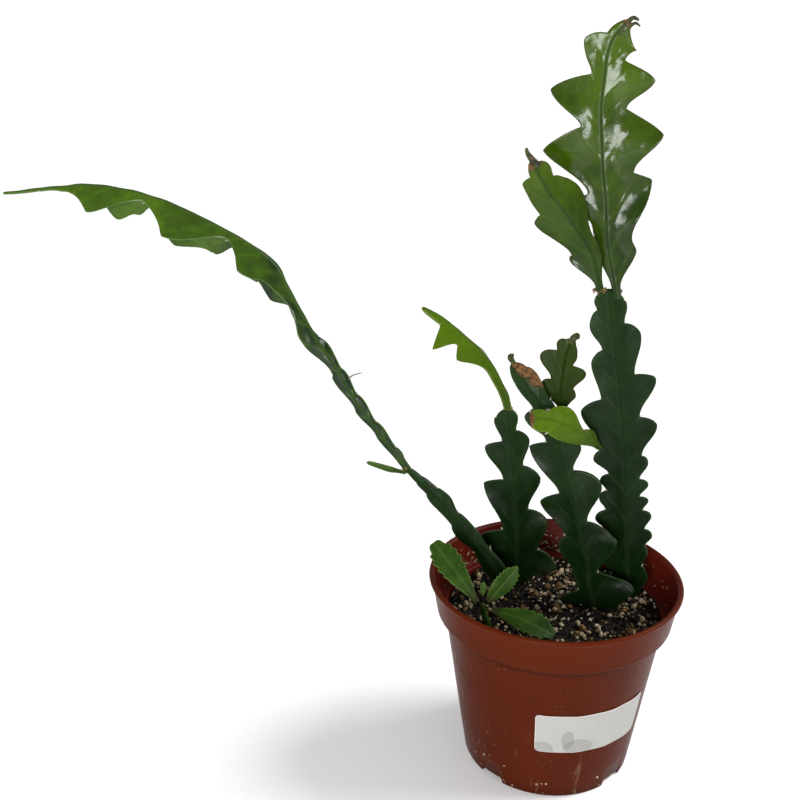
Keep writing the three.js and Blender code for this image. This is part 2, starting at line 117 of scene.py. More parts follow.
def grid_faces(rows, cols, close_rows=False, close_cols=False, first=0):
    """Corner numbers of the quads of a grid whose vertices are stored row by row."""
    r = np.arange(rows if close_rows else rows - 1)[:, None]
    c = np.arange(cols if close_cols else cols - 1)[None, :]
    r2, c2 = (r + 1) % rows, (c + 1) % cols
    quads = [r * cols + c, r * cols + c2, r2 * cols + c2, r2 * cols + c]
    return np.stack([q.ravel() for q in np.broadcast_arrays(*quads)], -1) + first


def fan_faces(ring, middle):
    """Triangles from each edge of a ring of corner numbers to one middle corner."""
    ring = np.asarray(ring)
    return np.stack([ring, np.roll(ring, -1), np.full(len(ring), middle)], -1)


def closed_tube(rings):
    """Vertices and faces of a stack of rings, each end closed with a fan about its middle."""
    rows, cols = rings.shape[:2]
    ends = np.stack([rings[0].mean(0), rings[-1].mean(0)])
    points = np.concatenate([rings.reshape(-1, 3), ends])
    low = np.arange(cols)[::-1]
    high = np.arange(cols) + (rows - 1) * cols
    tris = np.concatenate([fan_faces(low, rows * cols), fan_faces(high, rows * cols + 1)])
    return points, [grid_faces(rows, cols, close_cols=True), tris]


def sheet_values(grids, back):
    """Per-vertex numbers of a closed tube made from a sheet: each grid is carried over to the
    columns of the sheet's back, and the middle of each end repeats its first corner."""
    values = {}
    for key, grid in grids.items():
        both = np.concatenate([grid, grid[:, back]], 1)
        values[key] = np.concatenate([both.ravel(), both[0, :1], both[-1, :1]])
    return values


def volume_of(points, faces):
    """Signed volume: a sixth of the triple products of each face's corners, split into a fan."""
    total = 0.0
    for group in faces:
        for k in range(1, group.shape[1] - 1):
            a, b, c = points[group[:, 0]], points[group[:, k]], points[group[:, k + 1]]
            total += np.einsum("ij,ij->", a, np.cross(b, c)) / 6
    return total


def make_piece(name, points, faces, material, nodes=(), values=None, smooth=True):
    """A mesh object from vertices in millimetres, faces grouped by their corner count, and
    one number per vertex for each named value. Faces are turned to point outwards."""
    if volume_of(points, faces) < 0:
        faces = [group[:, ::-1] for group in faces]
    mesh = bpy.data.meshes.new(name)
    mesh.vertices.add(len(points))
    mesh.vertices.foreach_set("co", (points * MM).astype(np.float32).ravel())
    corners = np.concatenate([group.ravel() for group in faces])
    sizes = np.concatenate([np.full(len(group), group.shape[1]) for group in faces])
    mesh.loops.add(len(corners))
    mesh.loops.foreach_set("vertex_index", corners.astype(np.int32))
    mesh.polygons.add(len(sizes))
    starts = np.concatenate([[0], np.cumsum(sizes)[:-1]])
    mesh.polygons.foreach_set("loop_start", starts.astype(np.int32))
    mesh.update(calc_edges=True)
    for key, numbers in (values or {}).items():
        attribute = mesh.attributes.new(key, "FLOAT", "POINT")
        attribute.data.foreach_set("value", np.asarray(numbers, np.float32).ravel())
    mesh.polygons.foreach_set("use_smooth", np.full(len(sizes), smooth))
    mesh.materials.append(material)
    piece = bpy.data.objects.new(name, mesh)
    bpy.context.scene.collection.objects.link(piece)
    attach(piece, "root")
    if nodes:
        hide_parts(*nodes)


# ---- node materials ----

# A Mix node has sockets for numbers, vectors and colours. These are the ones for colours.
COLOUR_FACTOR, COLOUR_A, COLOUR_B, COLOUR_RESULT = 0, 6, 7, 2


class Wire:
    """A node's output socket that takes part in Python arithmetic."""

    def __init__(self, finish, socket):
        self.finish = finish
        self.socket = socket

    def maths(self, operation, *terms):
        return self.finish.node("ShaderNodeMath", {"operation": operation}, dict(enumerate(terms)))

    def __add__(self, other):
        return self.maths("ADD", self, other)

    def __radd__(self, other):
        return self.maths("ADD", other, self)

    def __sub__(self, other):
        return self.maths("SUBTRACT", self, other)

    def __rsub__(self, other):
        return self.maths("SUBTRACT", other, self)

    def __mul__(self, other):
        return self.maths("MULTIPLY", self, other)

    def __rmul__(self, other):
        return self.maths("MULTIPLY", other, self)

    def __truediv__(self, other):
        return self.maths("DIVIDE", self, other)

    def __pow__(self, other):
        return self.maths("POWER", self, other)

    def between(self, low, high):
        """0 below low, 1 above high, smooth between."""
        inputs = {"Value": self, "From Min": low, "From Max": high}
        settings = {"interpolation_type": "SMOOTHSTEP"}
        return self.finish.node("ShaderNodeMapRange", settings, inputs)

    def clamped(self):
        return self.finish.node("ShaderNodeClamp", {}, {"Value": self})


class Finish:
    """The nodes of a material or a world, added one at a time."""

    def __init__(self, holder):
        self.holder = holder
        holder.use_nodes = True
        self.tree = holder.node_tree
        self.tree.nodes.clear()

    def node(self, kind, settings=None, inputs=None, out=0):
        """Adds a node: its settings first, then the values or links of its sockets."""
        made = self.tree.nodes.new(kind)
        for key, value in (settings or {}).items():
            setattr(made, key, value)
        for key, value in (inputs or {}).items():
            socket = made.inputs[key]
            if isinstance(value, Wire):
                self.tree.links.new(value.socket, socket)
            else:
                socket.default_value = value
        return Wire(self, made.outputs[out])

    def place(self, kind="Object"):
        return self.node("ShaderNodeTexCoord", out=kind)

    def axis(self, place, letter):
        """One of the three numbers of a place."""
        return self.node("ShaderNodeSeparateXYZ", {}, {"Vector": place}, letter)

    def value(self, name):
        """One of the piece's own per-vertex numbers."""
        return self.node("ShaderNodeAttribute", {"attribute_name": name}, out="Fac")

    def noise(self, scale, detail=3.0, rough=0.55, at=None):
        """Noise centred on a half, with features about 1 / scale metres long."""
        inputs = {"Vector": at or self.place(), "Scale": scale, "Detail": detail}
        return self.node("ShaderNodeTexNoise", {}, {**inputs, "Roughness": rough})

    def cells(self, scale):
        """Distance to the nearest of scattered points, about 1 / scale metres apart."""
        inputs = {"Vector": self.place(), "Scale": scale}
        return self.node("ShaderNodeTexVoronoi", {"feature": "F1"}, inputs, "Distance")

    def swing(self, noise, gain, middle=0.5):
        """Noise with its contrast raised by a gain, about a new middle, kept within 0..1."""
        return ((noise - 0.5) * gain + middle).clamped()

    def stretched(self, x, y, z):
        """Object coordinates scaled along each axis."""
        inputs = {"Vector": self.place(), "Scale": (x, y, z)}
        return self.node("ShaderNodeMapping", {}, inputs)

    def mix(self, factor, a, b):
        """Colour a where the factor is 0 and colour b where it is 1."""
        settings = {"data_type": "RGBA", "clamp_factor": True}
        inputs = {COLOUR_FACTOR: factor, COLOUR_A: rgba(a), COLOUR_B: rgba(b)}
        return self.node("ShaderNodeMix", settings, inputs, COLOUR_RESULT)

    def bump(self, height, distance, strength):
        """A normal tilted by the slope of a height, whose full range is a distance in metres."""
        inputs = {"Height": height, "Distance": distance, "Strength": strength}
        return self.node("ShaderNodeBump", {}, inputs)

    def end(self, kind, shader):
        """Joins the last shader to the output of the material or world."""
        output = self.tree.nodes.new(kind)
        self.tree.links.new(shader.socket, output.inputs["Surface"])
        return self.holder

    def surface(self, **inputs):
        """Ends the material in one Principled shader; keywords name its sockets."""
        named = {key.replace("_", " "): value for key, value in inputs.items()}
        shader = self.node("ShaderNodeBsdfPrincipled", {}, named)
        return self.end("ShaderNodeOutputMaterial", shader)


def rgba(colour):
    """A colour of three numbers given a fourth, and a wire left alone."""
    if isinstance(colour, Wire):
        return colour
    return (*colour, 1.0)


def scaled(colour, share):
    """A colour with each of its numbers multiplied by a share."""
    return tuple(c * share for c in colour)


def new_finish(name):
    return Finish(bpy.data.materials.new(name))


# ---- stems ----


def centripetal(points, count=900, samples=40):
    """Catmull-Rom curve through points with centripetal knots: each stretch blends the lines
    between its four neighbours by their knot distances. The ends are mirrored to give the first
    and last stretch a neighbour. Returns distances along it, evenly spread, and their points."""
    p = np.asarray(points, float)
    p = np.concatenate([[2 * p[0] - p[1]], p, [2 * p[-1] - p[-2]]])
    knots = np.concatenate([[0], np.cumsum(np.linalg.norm(np.diff(p, axis=0), axis=1) ** 0.5)])
    out = []
    for i in range(1, len(p) - 2):
        is_last = i == len(p) - 3
        t = np.linspace(knots[i], knots[i + 1], samples, endpoint=is_last)[:, None]
        k0, k1, k2, k3 = knots[i - 1 : i + 3]
        a1 = ((k1 - t) * p[i - 1] + (t - k0) * p[i]) / (k1 - k0)
        a2 = ((k2 - t) * p[i] + (t - k1) * p[i + 1]) / (k2 - k1)
        a3 = ((k3 - t) * p[i + 1] + (t - k2) * p[i + 2]) / (k3 - k2)
        b1 = ((k2 - t) * a1 + (t - k0) * a2) / (k2 - k0)
        b2 = ((k3 - t) * a2 + (t - k1) * a3) / (k3 - k1)
        out.append(((k2 - t) * b1 + (t - k1) * b2) / (k2 - k1))
    line = np.concatenate(out)
    run = np.concatenate([[0], np.cumsum(np.linalg.norm(np.diff(line, axis=0), axis=1))])
    even = np.linspace(0, run[-1], count)
    return even, np.stack([np.interp(even, run, line[:, k]) for k in range(3)], -1)


def bezier(a, b, c, d, t):
    """Cubic Bezier value: the four numbers weighted by powers of t and 1 - t."""
    s = 1 - t
    return s**3 * a + 3 * s * s * t * b + 3 * s * t * t * c + t**3 * d


# A lobe of a margin. The way out to the tip takes this share of the rib stations, and the rest
# are for the way back. The curves' handles are shares of the lobe's length, and the rounding
# past the tip has a greatest length in millimetres.
OUT_SHARE = 0.6
OUT_HANDLE = 0.35
TIP_HANDLE = 0.8
TIP_LONGEST = 2.0
FOOT_FADE = 8
TIP_REACH = 0.8


def margin(table, s, length, foot, slant, point):
    """Where a blade's margin lies for rib stations s. The table alternates notch, tip, notch as
    (distance, reach). From each notch a Bezier curve leaves along the rib and climbs to the tip,
    and a second one rounds the tip and comes back square to the rib, or slanting to it; point
    sharpens the tip. Below the table the reach fades to the foot's, and past it the reach shrinks
    by the square of the distance. Returns the margin's own distance along the rib and its reach."""
    at, reach = s.copy(), np.full(len(s), foot)
    first, last = table[0], table[-1]
    low = s <= first[0]
    reach[low] = first[1] + (foot - first[1]) * np.clip((first[0] - s[low]) / FOOT_FADE, 0, 1)
    for (s0, r0), (s1, r1), (s2, r2) in zip(table[0::2], table[1::2], table[2::2]):
        inside = (s > s0) & (s <= s2)
        q = (s[inside] - s0) / (s2 - s0)
        t = np.clip(q / OUT_SHARE, 0, 1)
        u = np.clip((q - OUT_SHARE) / (1 - OUT_SHARE), 0, 1)
        run = OUT_HANDLE * (s1 - s0)
        turn = min(TIP_LONGEST, TIP_HANDLE * (s2 - s1)) * (1 - point)
        cut = 0.3 * point * (r1 - r0)
        out_s = bezier(s0, s0 + run, s1 - run, s1, t)
        out_r = bezier(r0, r0, r1 - cut, r1, t)
        back_s = bezier(s1, s1 + turn, s2 - slant * (s2 - s1), s2, u)
        back_r = bezier(r1, r1, (r1 + r2) / 2, r2, u)
        at[inside] = np.where(q < OUT_SHARE, out_s, back_s)
        reach[inside] = np.where(q < OUT_SHARE, out_r, back_r)
    high = s > last[0]
    share = (s[high] - last[0]) / max(1e-6, length - last[0])
    reach[high] = last[1] + (TIP_REACH - last[1]) * share**2
    return at, reach


def plane_of(stem):
    """Axes of a stem's plane: across to the right, up, and out of its face."""
    turn, tip = math.radians(stem["facing"]), math.radians(stem.get("lean", 0))
    level = np.array([math.cos(turn), math.sin(turn), 0])
    across = np.array([-math.sin(turn), math.cos(turn), 0])
    up = np.array([0, 0, math.cos(tip)]) + level * math.sin(tip)
    return across, up, np.cross(across, up)


# Where a planted stem's rib starts under the soil, and the fold of a stem that lies flat.
SOWN = (0, -20)
FLAT = ((0, 0, 180), (1, 0, 180))

# Each stem's skin and slot, and the place of its base from the pot's middle at soil level. Facing
# is the way its face looks, in degrees about the upright, and lean tips it over. Rib holds steps
# across, up and out from the base; left and right hold the margins' notches and tips. Fold holds
# (distance, left, right): the angles of the two halves. Thick is half the thickness at the rib
# and at the margin. Scars are (distance, share of the way out, size).
STEMS = {
    "stem_right_lower": {
        "skin": "old", "slot": "old_stem", "base": (29, 14, 0), "facing": -88, "buried": 20,
        "rib": [SOWN, (2, 0), (0, 27), (-2, 45), (-4, 67.5), (-7, 88.5), (-10.5, 109.5),
                (-13, 121.5), (-14.5, 131.5), (-14.7, 134)],
        "left": [(3, 5), (8, 9), (11, 6.5), (18, 10), (21, 7), (28, 11), (31, 7.5), (38, 12.5),
                 (41.5, 8), (46.5, 10.5), (50, 7.5), (54.5, 10), (57.5, 6.5), (64.5, 12.5),
                 (68.5, 9), (86, 16), (90.5, 7.5), (105.5, 10), (111, 5), (121, 8.5), (127, 5),
                 (130.5, 5.8), (131.5, 5.4)],
        "right": [(2, 5), (9, 8.5), (15, 6), (20.5, 8.5), (24.5, 7.5), (29, 10.5), (32, 7.5),
                  (37.5, 10.5), (40.5, 7), (45, 9.5), (47, 6), (52.5, 9.5), (55, 6), (62, 9.5),
                  (65, 7), (77.5, 13.5), (81.5, 7), (96.5, 14.5), (99.5, 6.5), (115, 10.5),
                  (120.5, 5), (127.5, 6.6), (130, 5.6)],
    },
    "stem_right_upper": {
        "skin": "young", "slot": "young_stem", "base": (17, 13.7, 133.4), "facing": -96,
        "thick": (1.9, 0.6), "taper": 0.5, "ripple": 1.2, "sink": 3.5, "point": 0.45,
        "slant": (0.2, 0.5),
        "scars": [(59, 0.42, 1.0), (100, 0, 2.4)],
        "rib": [(0, 0), (-4.5, 19.5), (-6, 34), (-7.5, 43), (-9, 56), (-10, 67), (-9.5, 78),
                (-9, 85.5), (-7, 91.5), (-2, 97)],
        "left": [(1.5, 1.6), (16.5, 5), (24.5, 5.5), (34, 12), (38, 6.5), (54.5, 22), (62, 7.5),
                 (73, 19.5), (79.5, 5), (89, 9.5), (92.5, 3)],
        "right": [(0.5, 2), (13.5, 10), (18, 9), (39, 17), (43.5, 11), (56.5, 22), (67.5, 9),
                  (78.5, 18), (85, 6.5), (93, 9.5), (98, 2.5)],
    },
    "stem_right_side_shoot": {
        "skin": "young", "slot": "young_stem", "base": (10.8, 12.6, 133.6), "facing": -80,
        "lean": 5, "thick": (1.6, 0.55), "taper": 0.5, "ripple": 0.8, "sink": 3,
        "scars": [(57, 0, 3.4)],
        "fold": ((0, -12, 192), (20, -25, 205)),
        "rib": [(0, 0.5), (-4.5, 14.5), (-11.5, 24.5), (-17, 32), (-22, 37.5), (-26, 44),
                (-29, 49.5)],
        "left": [(1, 1.5), (14.5, 9), (16.5, 7.5), (35.5, 12.5), (38.5, 8.5), (49, 8), (51.5, 3.5)],
        "right": [(1, 1.5), (17, 4.5), (19, 4), (37, 11), (47.5, 5), (51.5, 5.5), (55.5, 2)],
    },
    "stem_right_low_shoot": {
        "skin": "lime", "slot": "young_stem", "base": (14.6, 11.6, 69.2), "facing": -90,
        "lean": -30, "thick": (1.4, 0.55), "ripple": 0.4, "scars": [(38.5, 0, 2.2)],
        "rib": [(0, 0, 0), (-5.5, 2, 9), (-14, 5, 17.5), (-21.5, 6, 21.5), (-27.5, 5.5, 23.5)],
        "left": [(0.5, 1.4), (24, 6.5), (30, 5), (33, 5.2), (37.5, 3)],
        "right": [(0.5, 1.4), (8, 4), (13, 2), (24, 7.2), (30.5, 3.6), (34, 3.9), (37.5, 3)],
    },
    "stem_middle_lower": {
        "skin": "old", "slot": "old_stem", "base": (17.5, 3.8, 0), "facing": -97, "buried": 20,
        "taper": 0.35, "ripple": 0.7, "scars": [(108, 0.95, 5.5), (102, 0.95, 4.5), (114, 0, 2.5)],
        "rib": [(1, -20), (0, 0), (-3, 12), (-4, 21), (-7, 30), (-10, 43), (-12.5, 52),
                (-15.5, 60.5), (-18, 68.5), (-20.5, 77), (-24, 83), (-27.5, 89), (-32.5, 95),
                (-36.5, 100), (-39.5, 103.5)],
        "left": [(1.5, 6), (4, 16.5), (8.5, 5), (29, 10.5), (33.5, 6.5), (49.5, 14.5), (53, 5.5),
                 (74, 12.5), (75.5, 5), (89, 9), (92, 4), (100.5, 4.5), (105, 4)],
        "right": [(0.5, 10), (5.5, 17.5), (16.5, 3.5), (28, 14), (39, 3.5), (54.5, 12.5),
                  (61.5, 3), (71.5, 8.5), (76, 5), (89, 4.5), (92, 4), (104, 6), (108, 4)],
    },
    "stem_middle_upper": {
        "skin": "middle", "slot": "young_stem", "base": (-0.7, 10.2, 84.5), "facing": -91,
        "thick": (1.4, 0.55), "taper": 0.3, "ripple": 0.4, "sink": 2, "scars": [(31, 0, 2.6)],
        "rib": [(0, 0), (-1, 7), (-0.5, 15.5), (0.5, 24), (2.5, 30)],
        "left": [(1, 1.8), (10, 8), (12.5, 4.5), (21, 10), (24, 4), (26.5, 5), (29, 2)],
        "right": [(0.5, 2), (5.5, 6), (9, 5), (16, 9), (19, 3.5), (22.5, 4.5), (28, 2.3)],
    },
    "stem_left_lower": {
        "skin": "old", "slot": "old_stem", "base": (-16.4, 20.5, 0), "facing": -87, "buried": 20,
        "taper": 0.2, "ripple": 0.8,
        "rib": [(0.5, -20), (0, 0), (-0.5, 19), (-2, 38), (-3.5, 52), (-5, 65.5), (-6.5, 78.5),
                (-6.7, 80.5)],
        "left": [(3, 5), (20.5, 16), (24.5, 6), (46.5, 13), (48.5, 4.5), (64, 11), (66, 3.5),
                 (75, 6.2), (77, 5)],
        "right": [(1.5, 6), (6, 17.5), (15, 9), (28.5, 13.5), (34, 5.5), (48.5, 11.5), (54.5, 4.5),
                  (65.5, 8), (70.5, 2.8), (76, 4), (78, 3.4)],
    },
    "stem_left_upper": {
        "skin": "lime", "slot": "young_stem", "base": (-22.9, 20.3, 79.4), "facing": -85,
        "thick": (1.2, 0.45), "taper": 0.3, "slant": (0.4, 0.2), "sink": 2.5, "point": 0.7,
        "fold": ((0, 20, 160), (12, 38, 271)),
        "rib": [(0, 0.5), (-3.5, 11), (-7.5, 18.5), (-13, 25.5), (-20.5, 32), (-28.5, 38.5),
                (-36.5, 43)],
        "left": [(2, 1.8), (15, 3), (19, 3), (33.5, 10), (37, 4.5), (44, 13), (47.5, 2.6)],
        "right": [(2, 1.8), (9, 2.5), (12, 2.5), (26, 7), (30, 3.5), (40, 6), (44, 2.4)],
    },
    "stem_long_lower": {
        "skin": "old", "slot": "old_stem", "base": (-22, 10.5, 0), "facing": -90, "buried": 20,
        "thick": (1.9, 0.7),
        "rib": [(4, -20), (0.5, -0.5), (-1.5, 8), (-8, 17.5), (-14, 24.5), (-20, 32.5),
                (-25.5, 39), (-32, 45.5), (-40, 52.5), (-42.2, 54.3)],
        "left": [(2, 4), (13, 5.5), (22.5, 3.5), (33.5, 5.5), (38, 4), (51, 4.6), (56.5, 2.8),
                 (60, 2.8), (63, 2)],
        "right": [(2, 3.5), (8, 4), (20, 3), (30, 4), (41, 2), (49.5, 4), (55, 2.6), (59, 2.4),
                  (63, 1.7)],
    },
    "stem_long_upper": {
        "skin": "arching", "slot": "arching_stem", "base": (-64.6, 10.5, 54.6), "facing": -90,
        "thick": (1.2, 0.4), "taper": 0.6, "slant": (0.75, 0.1), "ripple": 0.5, "sink": 3,
        "fold": ((0, 5, 175), (55, 15, 190), (80, 42, 336)),
        "rib": [(0, 0.5), (-4.5, 6.5), (-11.5, 15.5), (-18.5, 25), (-24.5, 34), (-31, 45),
                (-37.5, 53.5), (-41.5, 61), (-46, 69.5), (-49.5, 76.5), (-53.5, 84.5), (-64, 92),
                (-74, 97.5), (-85.5, 103), (-97.5, 108), (-114, 112.5), (-133, 114.5),
                (-142, 113.5), (-149.5, 113), (-160.5, 111.5), (-170, 110.5)],
        "left": [(2, 1.7), (16, 2.5), (20, 1.9), (30, 3.1), (34, 2.3), (47, 3.7), (50, 2.6),
                 (70, 5.6), (81, 3.2), (110, 12.5), (121, 3), (144.5, 15), (159, 3),
                 (181.5, 12.5), (194, 2.4), (200, 1.5), (206, 1.2)],
        "right": [(2, 1.8), (6, 2.6), (9, 1.8), (19, 2.8), (23, 1.8), (33, 3), (37, 2), (46, 3),
                  (50, 2), (62, 3.5), (66, 2.6), (76, 5.5), (82, 4), (88, 12), (90, 12),
                  (108, 16.5), (117, 4), (126, 13.5), (127.5, 14), (144, 19), (156, 4),
                  (164, 11), (165, 11), (174, 14.5), (181, 3), (188, 2), (200, 1.2)],
    },
    "stem_long_side_shoot": {
        "skin": "arching", "slot": "arching_stem", "base": (-67, 10.5, 52.5), "facing": -90,
        "thick": (1.1, 0.6), "taper": 0.5, "sink": 2.6,
        "rib": [(0, 0), (-5, 0.8), (-10, 2), (-14.5, 3.2)],
        "left": [(0.5, 0.9), (4, 1.4), (14, 0.8)],
        "right": [(0.5, 0.9), (4, 1.4), (14, 0.8)],
    },
}


# How far a stem's thick rib spreads, how wide its rounded margin is, and over what length its
# tip closes; how quickly its ripples turn; and the reach of a planted stem's foot.
RIB_SPREAD = 3.2
NOSE = 0.9
TIP_CLOSING = 1.6
LOBE_PITCH = 0.23
BURIED_FOOT = 3.0


class Blade:
    """A stem's rib and the frame that its two halves hang on, for whole arrays of distances."""

    def __init__(self, stem):
        self.stem = stem
        across, up, self.out = plane_of(stem)
        base = np.array(stem["base"], float) + SOIL_MIDDLE
        rib = np.array([tuple(p) + (0,) * (3 - len(p)) for p in stem["rib"]], float)
        line = base + rib[:, :1] * across + rib[:, 1:2] * up + rib[:, 2:] * self.out
        self.run, self.line = centripetal(line)
        self.before = stem.get("buried", 0)
        narrow = 0.85 * min(stem["left"][0][1], stem["right"][0][1])
        self.foot = BURIED_FOOT if self.before else narrow
        self.run = self.run - self.before
        self.top = self.run[-1]
        self.ways = np.gradient(self.line, axis=0)

    def rib_at(self, s):
        """Points and ways of the rib at distances s, carried on straight past both ends."""
        point = np.stack([np.interp(s, self.run, self.line[:, k]) for k in range(3)], -1)
        along = unit(np.stack([np.interp(s, self.run, self.ways[:, k]) for k in range(3)], -1))
        past = np.clip(s - self.top, 0, None) + np.clip(s + self.before, None, 0)
        return point + along * past[..., None], along

    def frame_at(self, s):
        """Rib point, the ways of the left and right halves, and their faces, at distances s.
        Each half is the in-plane side way turned about the rib by the fold's angle."""
        point, along = self.rib_at(s)
        left = unit(np.cross(self.out, along))
        front = unit(np.cross(along, left))
        fold = np.array(self.stem.get("fold", FLAT), float)
        a, b = np.full(s.shape, fold[0, 1]), np.full(s.shape, fold[0, 2])
        for (s0, a0, b0), (s1, a1, b1) in zip(fold[:-1], fold[1:]):
            t = ease(s, s0, s1)
            a, b = a + (a1 - a0) * t, b + (b1 - b0) * t
        a, b = np.radians(a)[..., None], np.radians(b)[..., None]
        way_l = left * np.cos(a) + front * np.sin(a)
        way_r = left * np.cos(b) + front * np.sin(b)
        face_l = -left * np.sin(a) + front * np.cos(a)
        face_r = left * np.sin(b) - front * np.cos(b)
        return point, way_l, way_r, face_l, face_r

    def surface(self, stations, across):
        """Closed blade skin. Station i ties a rib point to both margin points; across runs from
        -1 at the left margin through 0 at the rib to 1 at the right. The half thickness is
        thin + (deep - thin) exp(-(d / RIB_SPREAD)^2) for distance d from the rib, drawn in as a
        half round nose at the margin. Ripples lift the lobes by a sine of the distance along."""
        stem = self.stem
        deep, thin = stem.get("thick", (2.2, 0.7))
        s = np.linspace(-self.before - stem.get("sink", 0.8), self.top, stations)
        point, _, _, face_l, face_r = self.frame_at(s)
        ends = np.clip((self.top - s) / TIP_CLOSING, 0, 1)
        close = np.sqrt(1 - (1 - ends) ** 2)
        w = np.sin(np.linspace(-1, 1, across) * math.pi / 2)
        lefts, out_share = w[None] < 0, np.abs(w)[None]
        sides = []
        for number, name in enumerate(("left", "right")):
            slant = stem.get("slant", (0, 0))[number]
            at, reach = margin(stem[name], s, self.top, self.foot, slant, stem.get("point", 0.0))
            there, *ways, _, _ = self.frame_at(np.clip(at, s[0], self.top))
            reach = reach * close
            sides.append((there + ways[number] * reach[:, None], at, reach))
        (end_l, at_l, reach_l), (end_r, at_r, reach_r) = sides
        toward = np.where(lefts[..., None], end_l[:, None], end_r[:, None])
        flesh = point[:, None] + (toward - point[:, None]) * out_share[..., None]
        reach = np.where(lefts, reach_l[:, None], reach_r[:, None])
        at = np.where(lefts, at_l[:, None], at_r[:, None])
        far = reach * out_share
        blend = ease(w, -0.25, 0.25)[None, :, None]
        face = unit(face_l[:, None] * (1 - blend) + face_r[:, None] * blend)
        taper = 1 - (np.clip(s, 0, None) / self.top) ** 2 * stem.get("taper", 0)
        taper = (np.maximum(taper, 0.25) * close)[:, None]
        body = thin + (deep - thin) * np.exp(-((far / RIB_SPREAD) ** 2))
        nose = np.clip((1 - out_share) * reach / NOSE, 0, 1)
        half = body * taper * np.sqrt(1 - (1 - nose) ** 2)
        wave = stem.get("ripple", 0.3) * (far / 10) ** 1.5
        phase = at * LOBE_PITCH + np.where(lefts, 0.0, 2.1)
        flesh = flesh + face * (wave * np.sin(phase))[..., None]
        flesh = flesh + face * (0.12 * lumps(*np.moveaxis(flesh, -1, 0), 9.0, 3))[..., None]
        skin_front = flesh + face * half[..., None]
        skin_back = flesh - face * half[..., None]
        points, faces = closed_tube(np.concatenate([skin_front, skin_back[:, -2:0:-1]], 1))
        dist = at + (s[:, None] - at) * (1 - out_share)
        grids = {
            "along": np.broadcast_to(s[:, None] / self.top, dist.shape),
            "rib_gap": far,
            "edge_gap": reach - far,
            "scar": self.scars(dist, far, reach, np.sign(w)[None]),
            "lengthwise": dist,
        }
        return points, faces, sheet_values(grids, slice(-2, 0, -1))

    def scars(self, dist, far, reach, side_of):
        """How scarred each point is: exp(-(distance from the scar / its size)^2), most at a scar's
        own side; a scar with no side covers the rib and half as much of both sides."""
        total = np.zeros(dist.shape)
        for place, side, size in self.stem.get("scars", ()):
            other_side = far + abs(side) * 6
            gap = np.where(side_of == np.sign(side), np.abs(side) * reach - far, other_side)
            gap = far * 0.5 if side == 0 else gap
            total = np.maximum(total, np.exp(-((dist - place) ** 2 + gap**2) / size**2))
        return total


DRY_SCAR = (0.13, 0.065, 0.025)


def skin_material(
    name, deep, fresh, edge, rib, gloss, reach, shine, rim_width=0.5, rib_share=0.6
):
    """Waxy cactus skin: deep colour low down turning fresh past reach, mottled by noise; a line
    on the margin, which on the old and arching skins is a painted highlight, and a line on the rib,
    which on the young skin is painted shade; veins slanting from the rib; dry brown scars."""
    made = new_finish(name)
    along, rib_gap = made.value("along"), made.value("rib_gap")
    edge_gap, scar = made.value("edge_gap"), made.value("scar")
    cloud = made.noise(70, 4.0)
    turn = ((along - reach) * 1.2 + (cloud - 0.5) * 1.6 + 0.5).clamped()
    colour = made.mix(turn, deep, fresh)
    mottle = made.swing(made.noise(420, 3.0), 1.8)
    colour = made.mix(mottle * 0.35, colour, scaled(deep, 0.55))

    slant = made.value("lengthwise") * 0.55 - rib_gap * 0.75 + (cloud - 0.5) * 3
    vein = (slant.maths("SINE", slant) * 0.5 + 0.5) ** 8
    vein = vein * (1 - (rib_gap - 9).between(-6, 6))
    colour = made.mix(vein * 0.18, colour, fresh)
    # Rib line: the young skin's dark rib colour is painted shade along the ridge.
    rib_line = 1 - rib_gap.between(0.1, 1.1)
    colour = made.mix(rib_line * rib_share, colour, rib)
    # Margin line: its pale colour on the old and arching skins is a painted highlight; on the
    # young, middle and lime skins it is their own margin colour.
    rim = 1 - edge_gap.between(0.05, 0.05 + rim_width)
    colour = made.mix(rim * (0.85 - 0.3 * rim_width), colour, edge)

    specks = 1 - made.cells(900).between(0.05, 0.16)
    sparse = made.noise(160, 1.0).between(0.55, 0.7)
    colour = made.mix(specks * sparse * 0.5, colour, edge)
    torn = (scar + (made.noise(500, 3.0) - 0.5) * 0.9).between(0.38, 0.62)
    crust = made.noise(1100, 5.0, 0.7).between(0.42, 0.6)
    colour = made.mix(torn, colour, made.mix(crust, DRY_SCAR, scaled(DRY_SCAR, 0.22)))

    wax = made.noise(240, 2.0) - 0.5
    rough = (gloss + wax * 0.22 + torn * 0.4 + rib_line * 0.7).clamped()
    skin = made.noise(95, 2.0) + made.noise(900, 2.0) * 0.06 + vein * 0.12
    skin = skin + torn * made.noise(700, 4.0) * 0.6
    normal = made.bump(skin, 0.0011, 0.55)
    return made.surface(
        Base_Color=colour, Roughness=rough, Normal=normal, IOR=1.42, Specular_IOR_Level=shine
    )


# Bristles grow at notches past the foot whose reach is neither too small nor too large.
BRISTLED_FROM = 3
BRISTLED_REACH = (1.2, 11.5)
BRISTLE_RADIUS = 0.09


def bristle_points(blade, side, rng, length):
    """Starts and ways of a small tuft of bristles at every notch of one margin."""
    tufts = []
    for s0, reach in blade.stem[side][0::2]:
        if s0 < BRISTLED_FROM or not BRISTLED_REACH[0] <= reach <= BRISTLED_REACH[1]:
            continue
        point, way_l, way_r, face_l, face_r = blade.frame_at(np.array([s0 + 0.2]))
        way, face = (way_l[0], face_l[0]) if side == "left" else (way_r[0], face_r[0])
        root = point[0] + way * (reach - 0.15)
        _, along = blade.rib_at(np.array([s0]))
        for _ in range(rng.integers(4, 7)):
            lean = unit(way + along[0] * rng.uniform(0.2, 1.6) + face * rng.normal(0, 0.7))
            tufts.append((root + rng.normal(0, 0.18, 3), lean * length * rng.uniform(0.5, 1.1)))
    return tufts


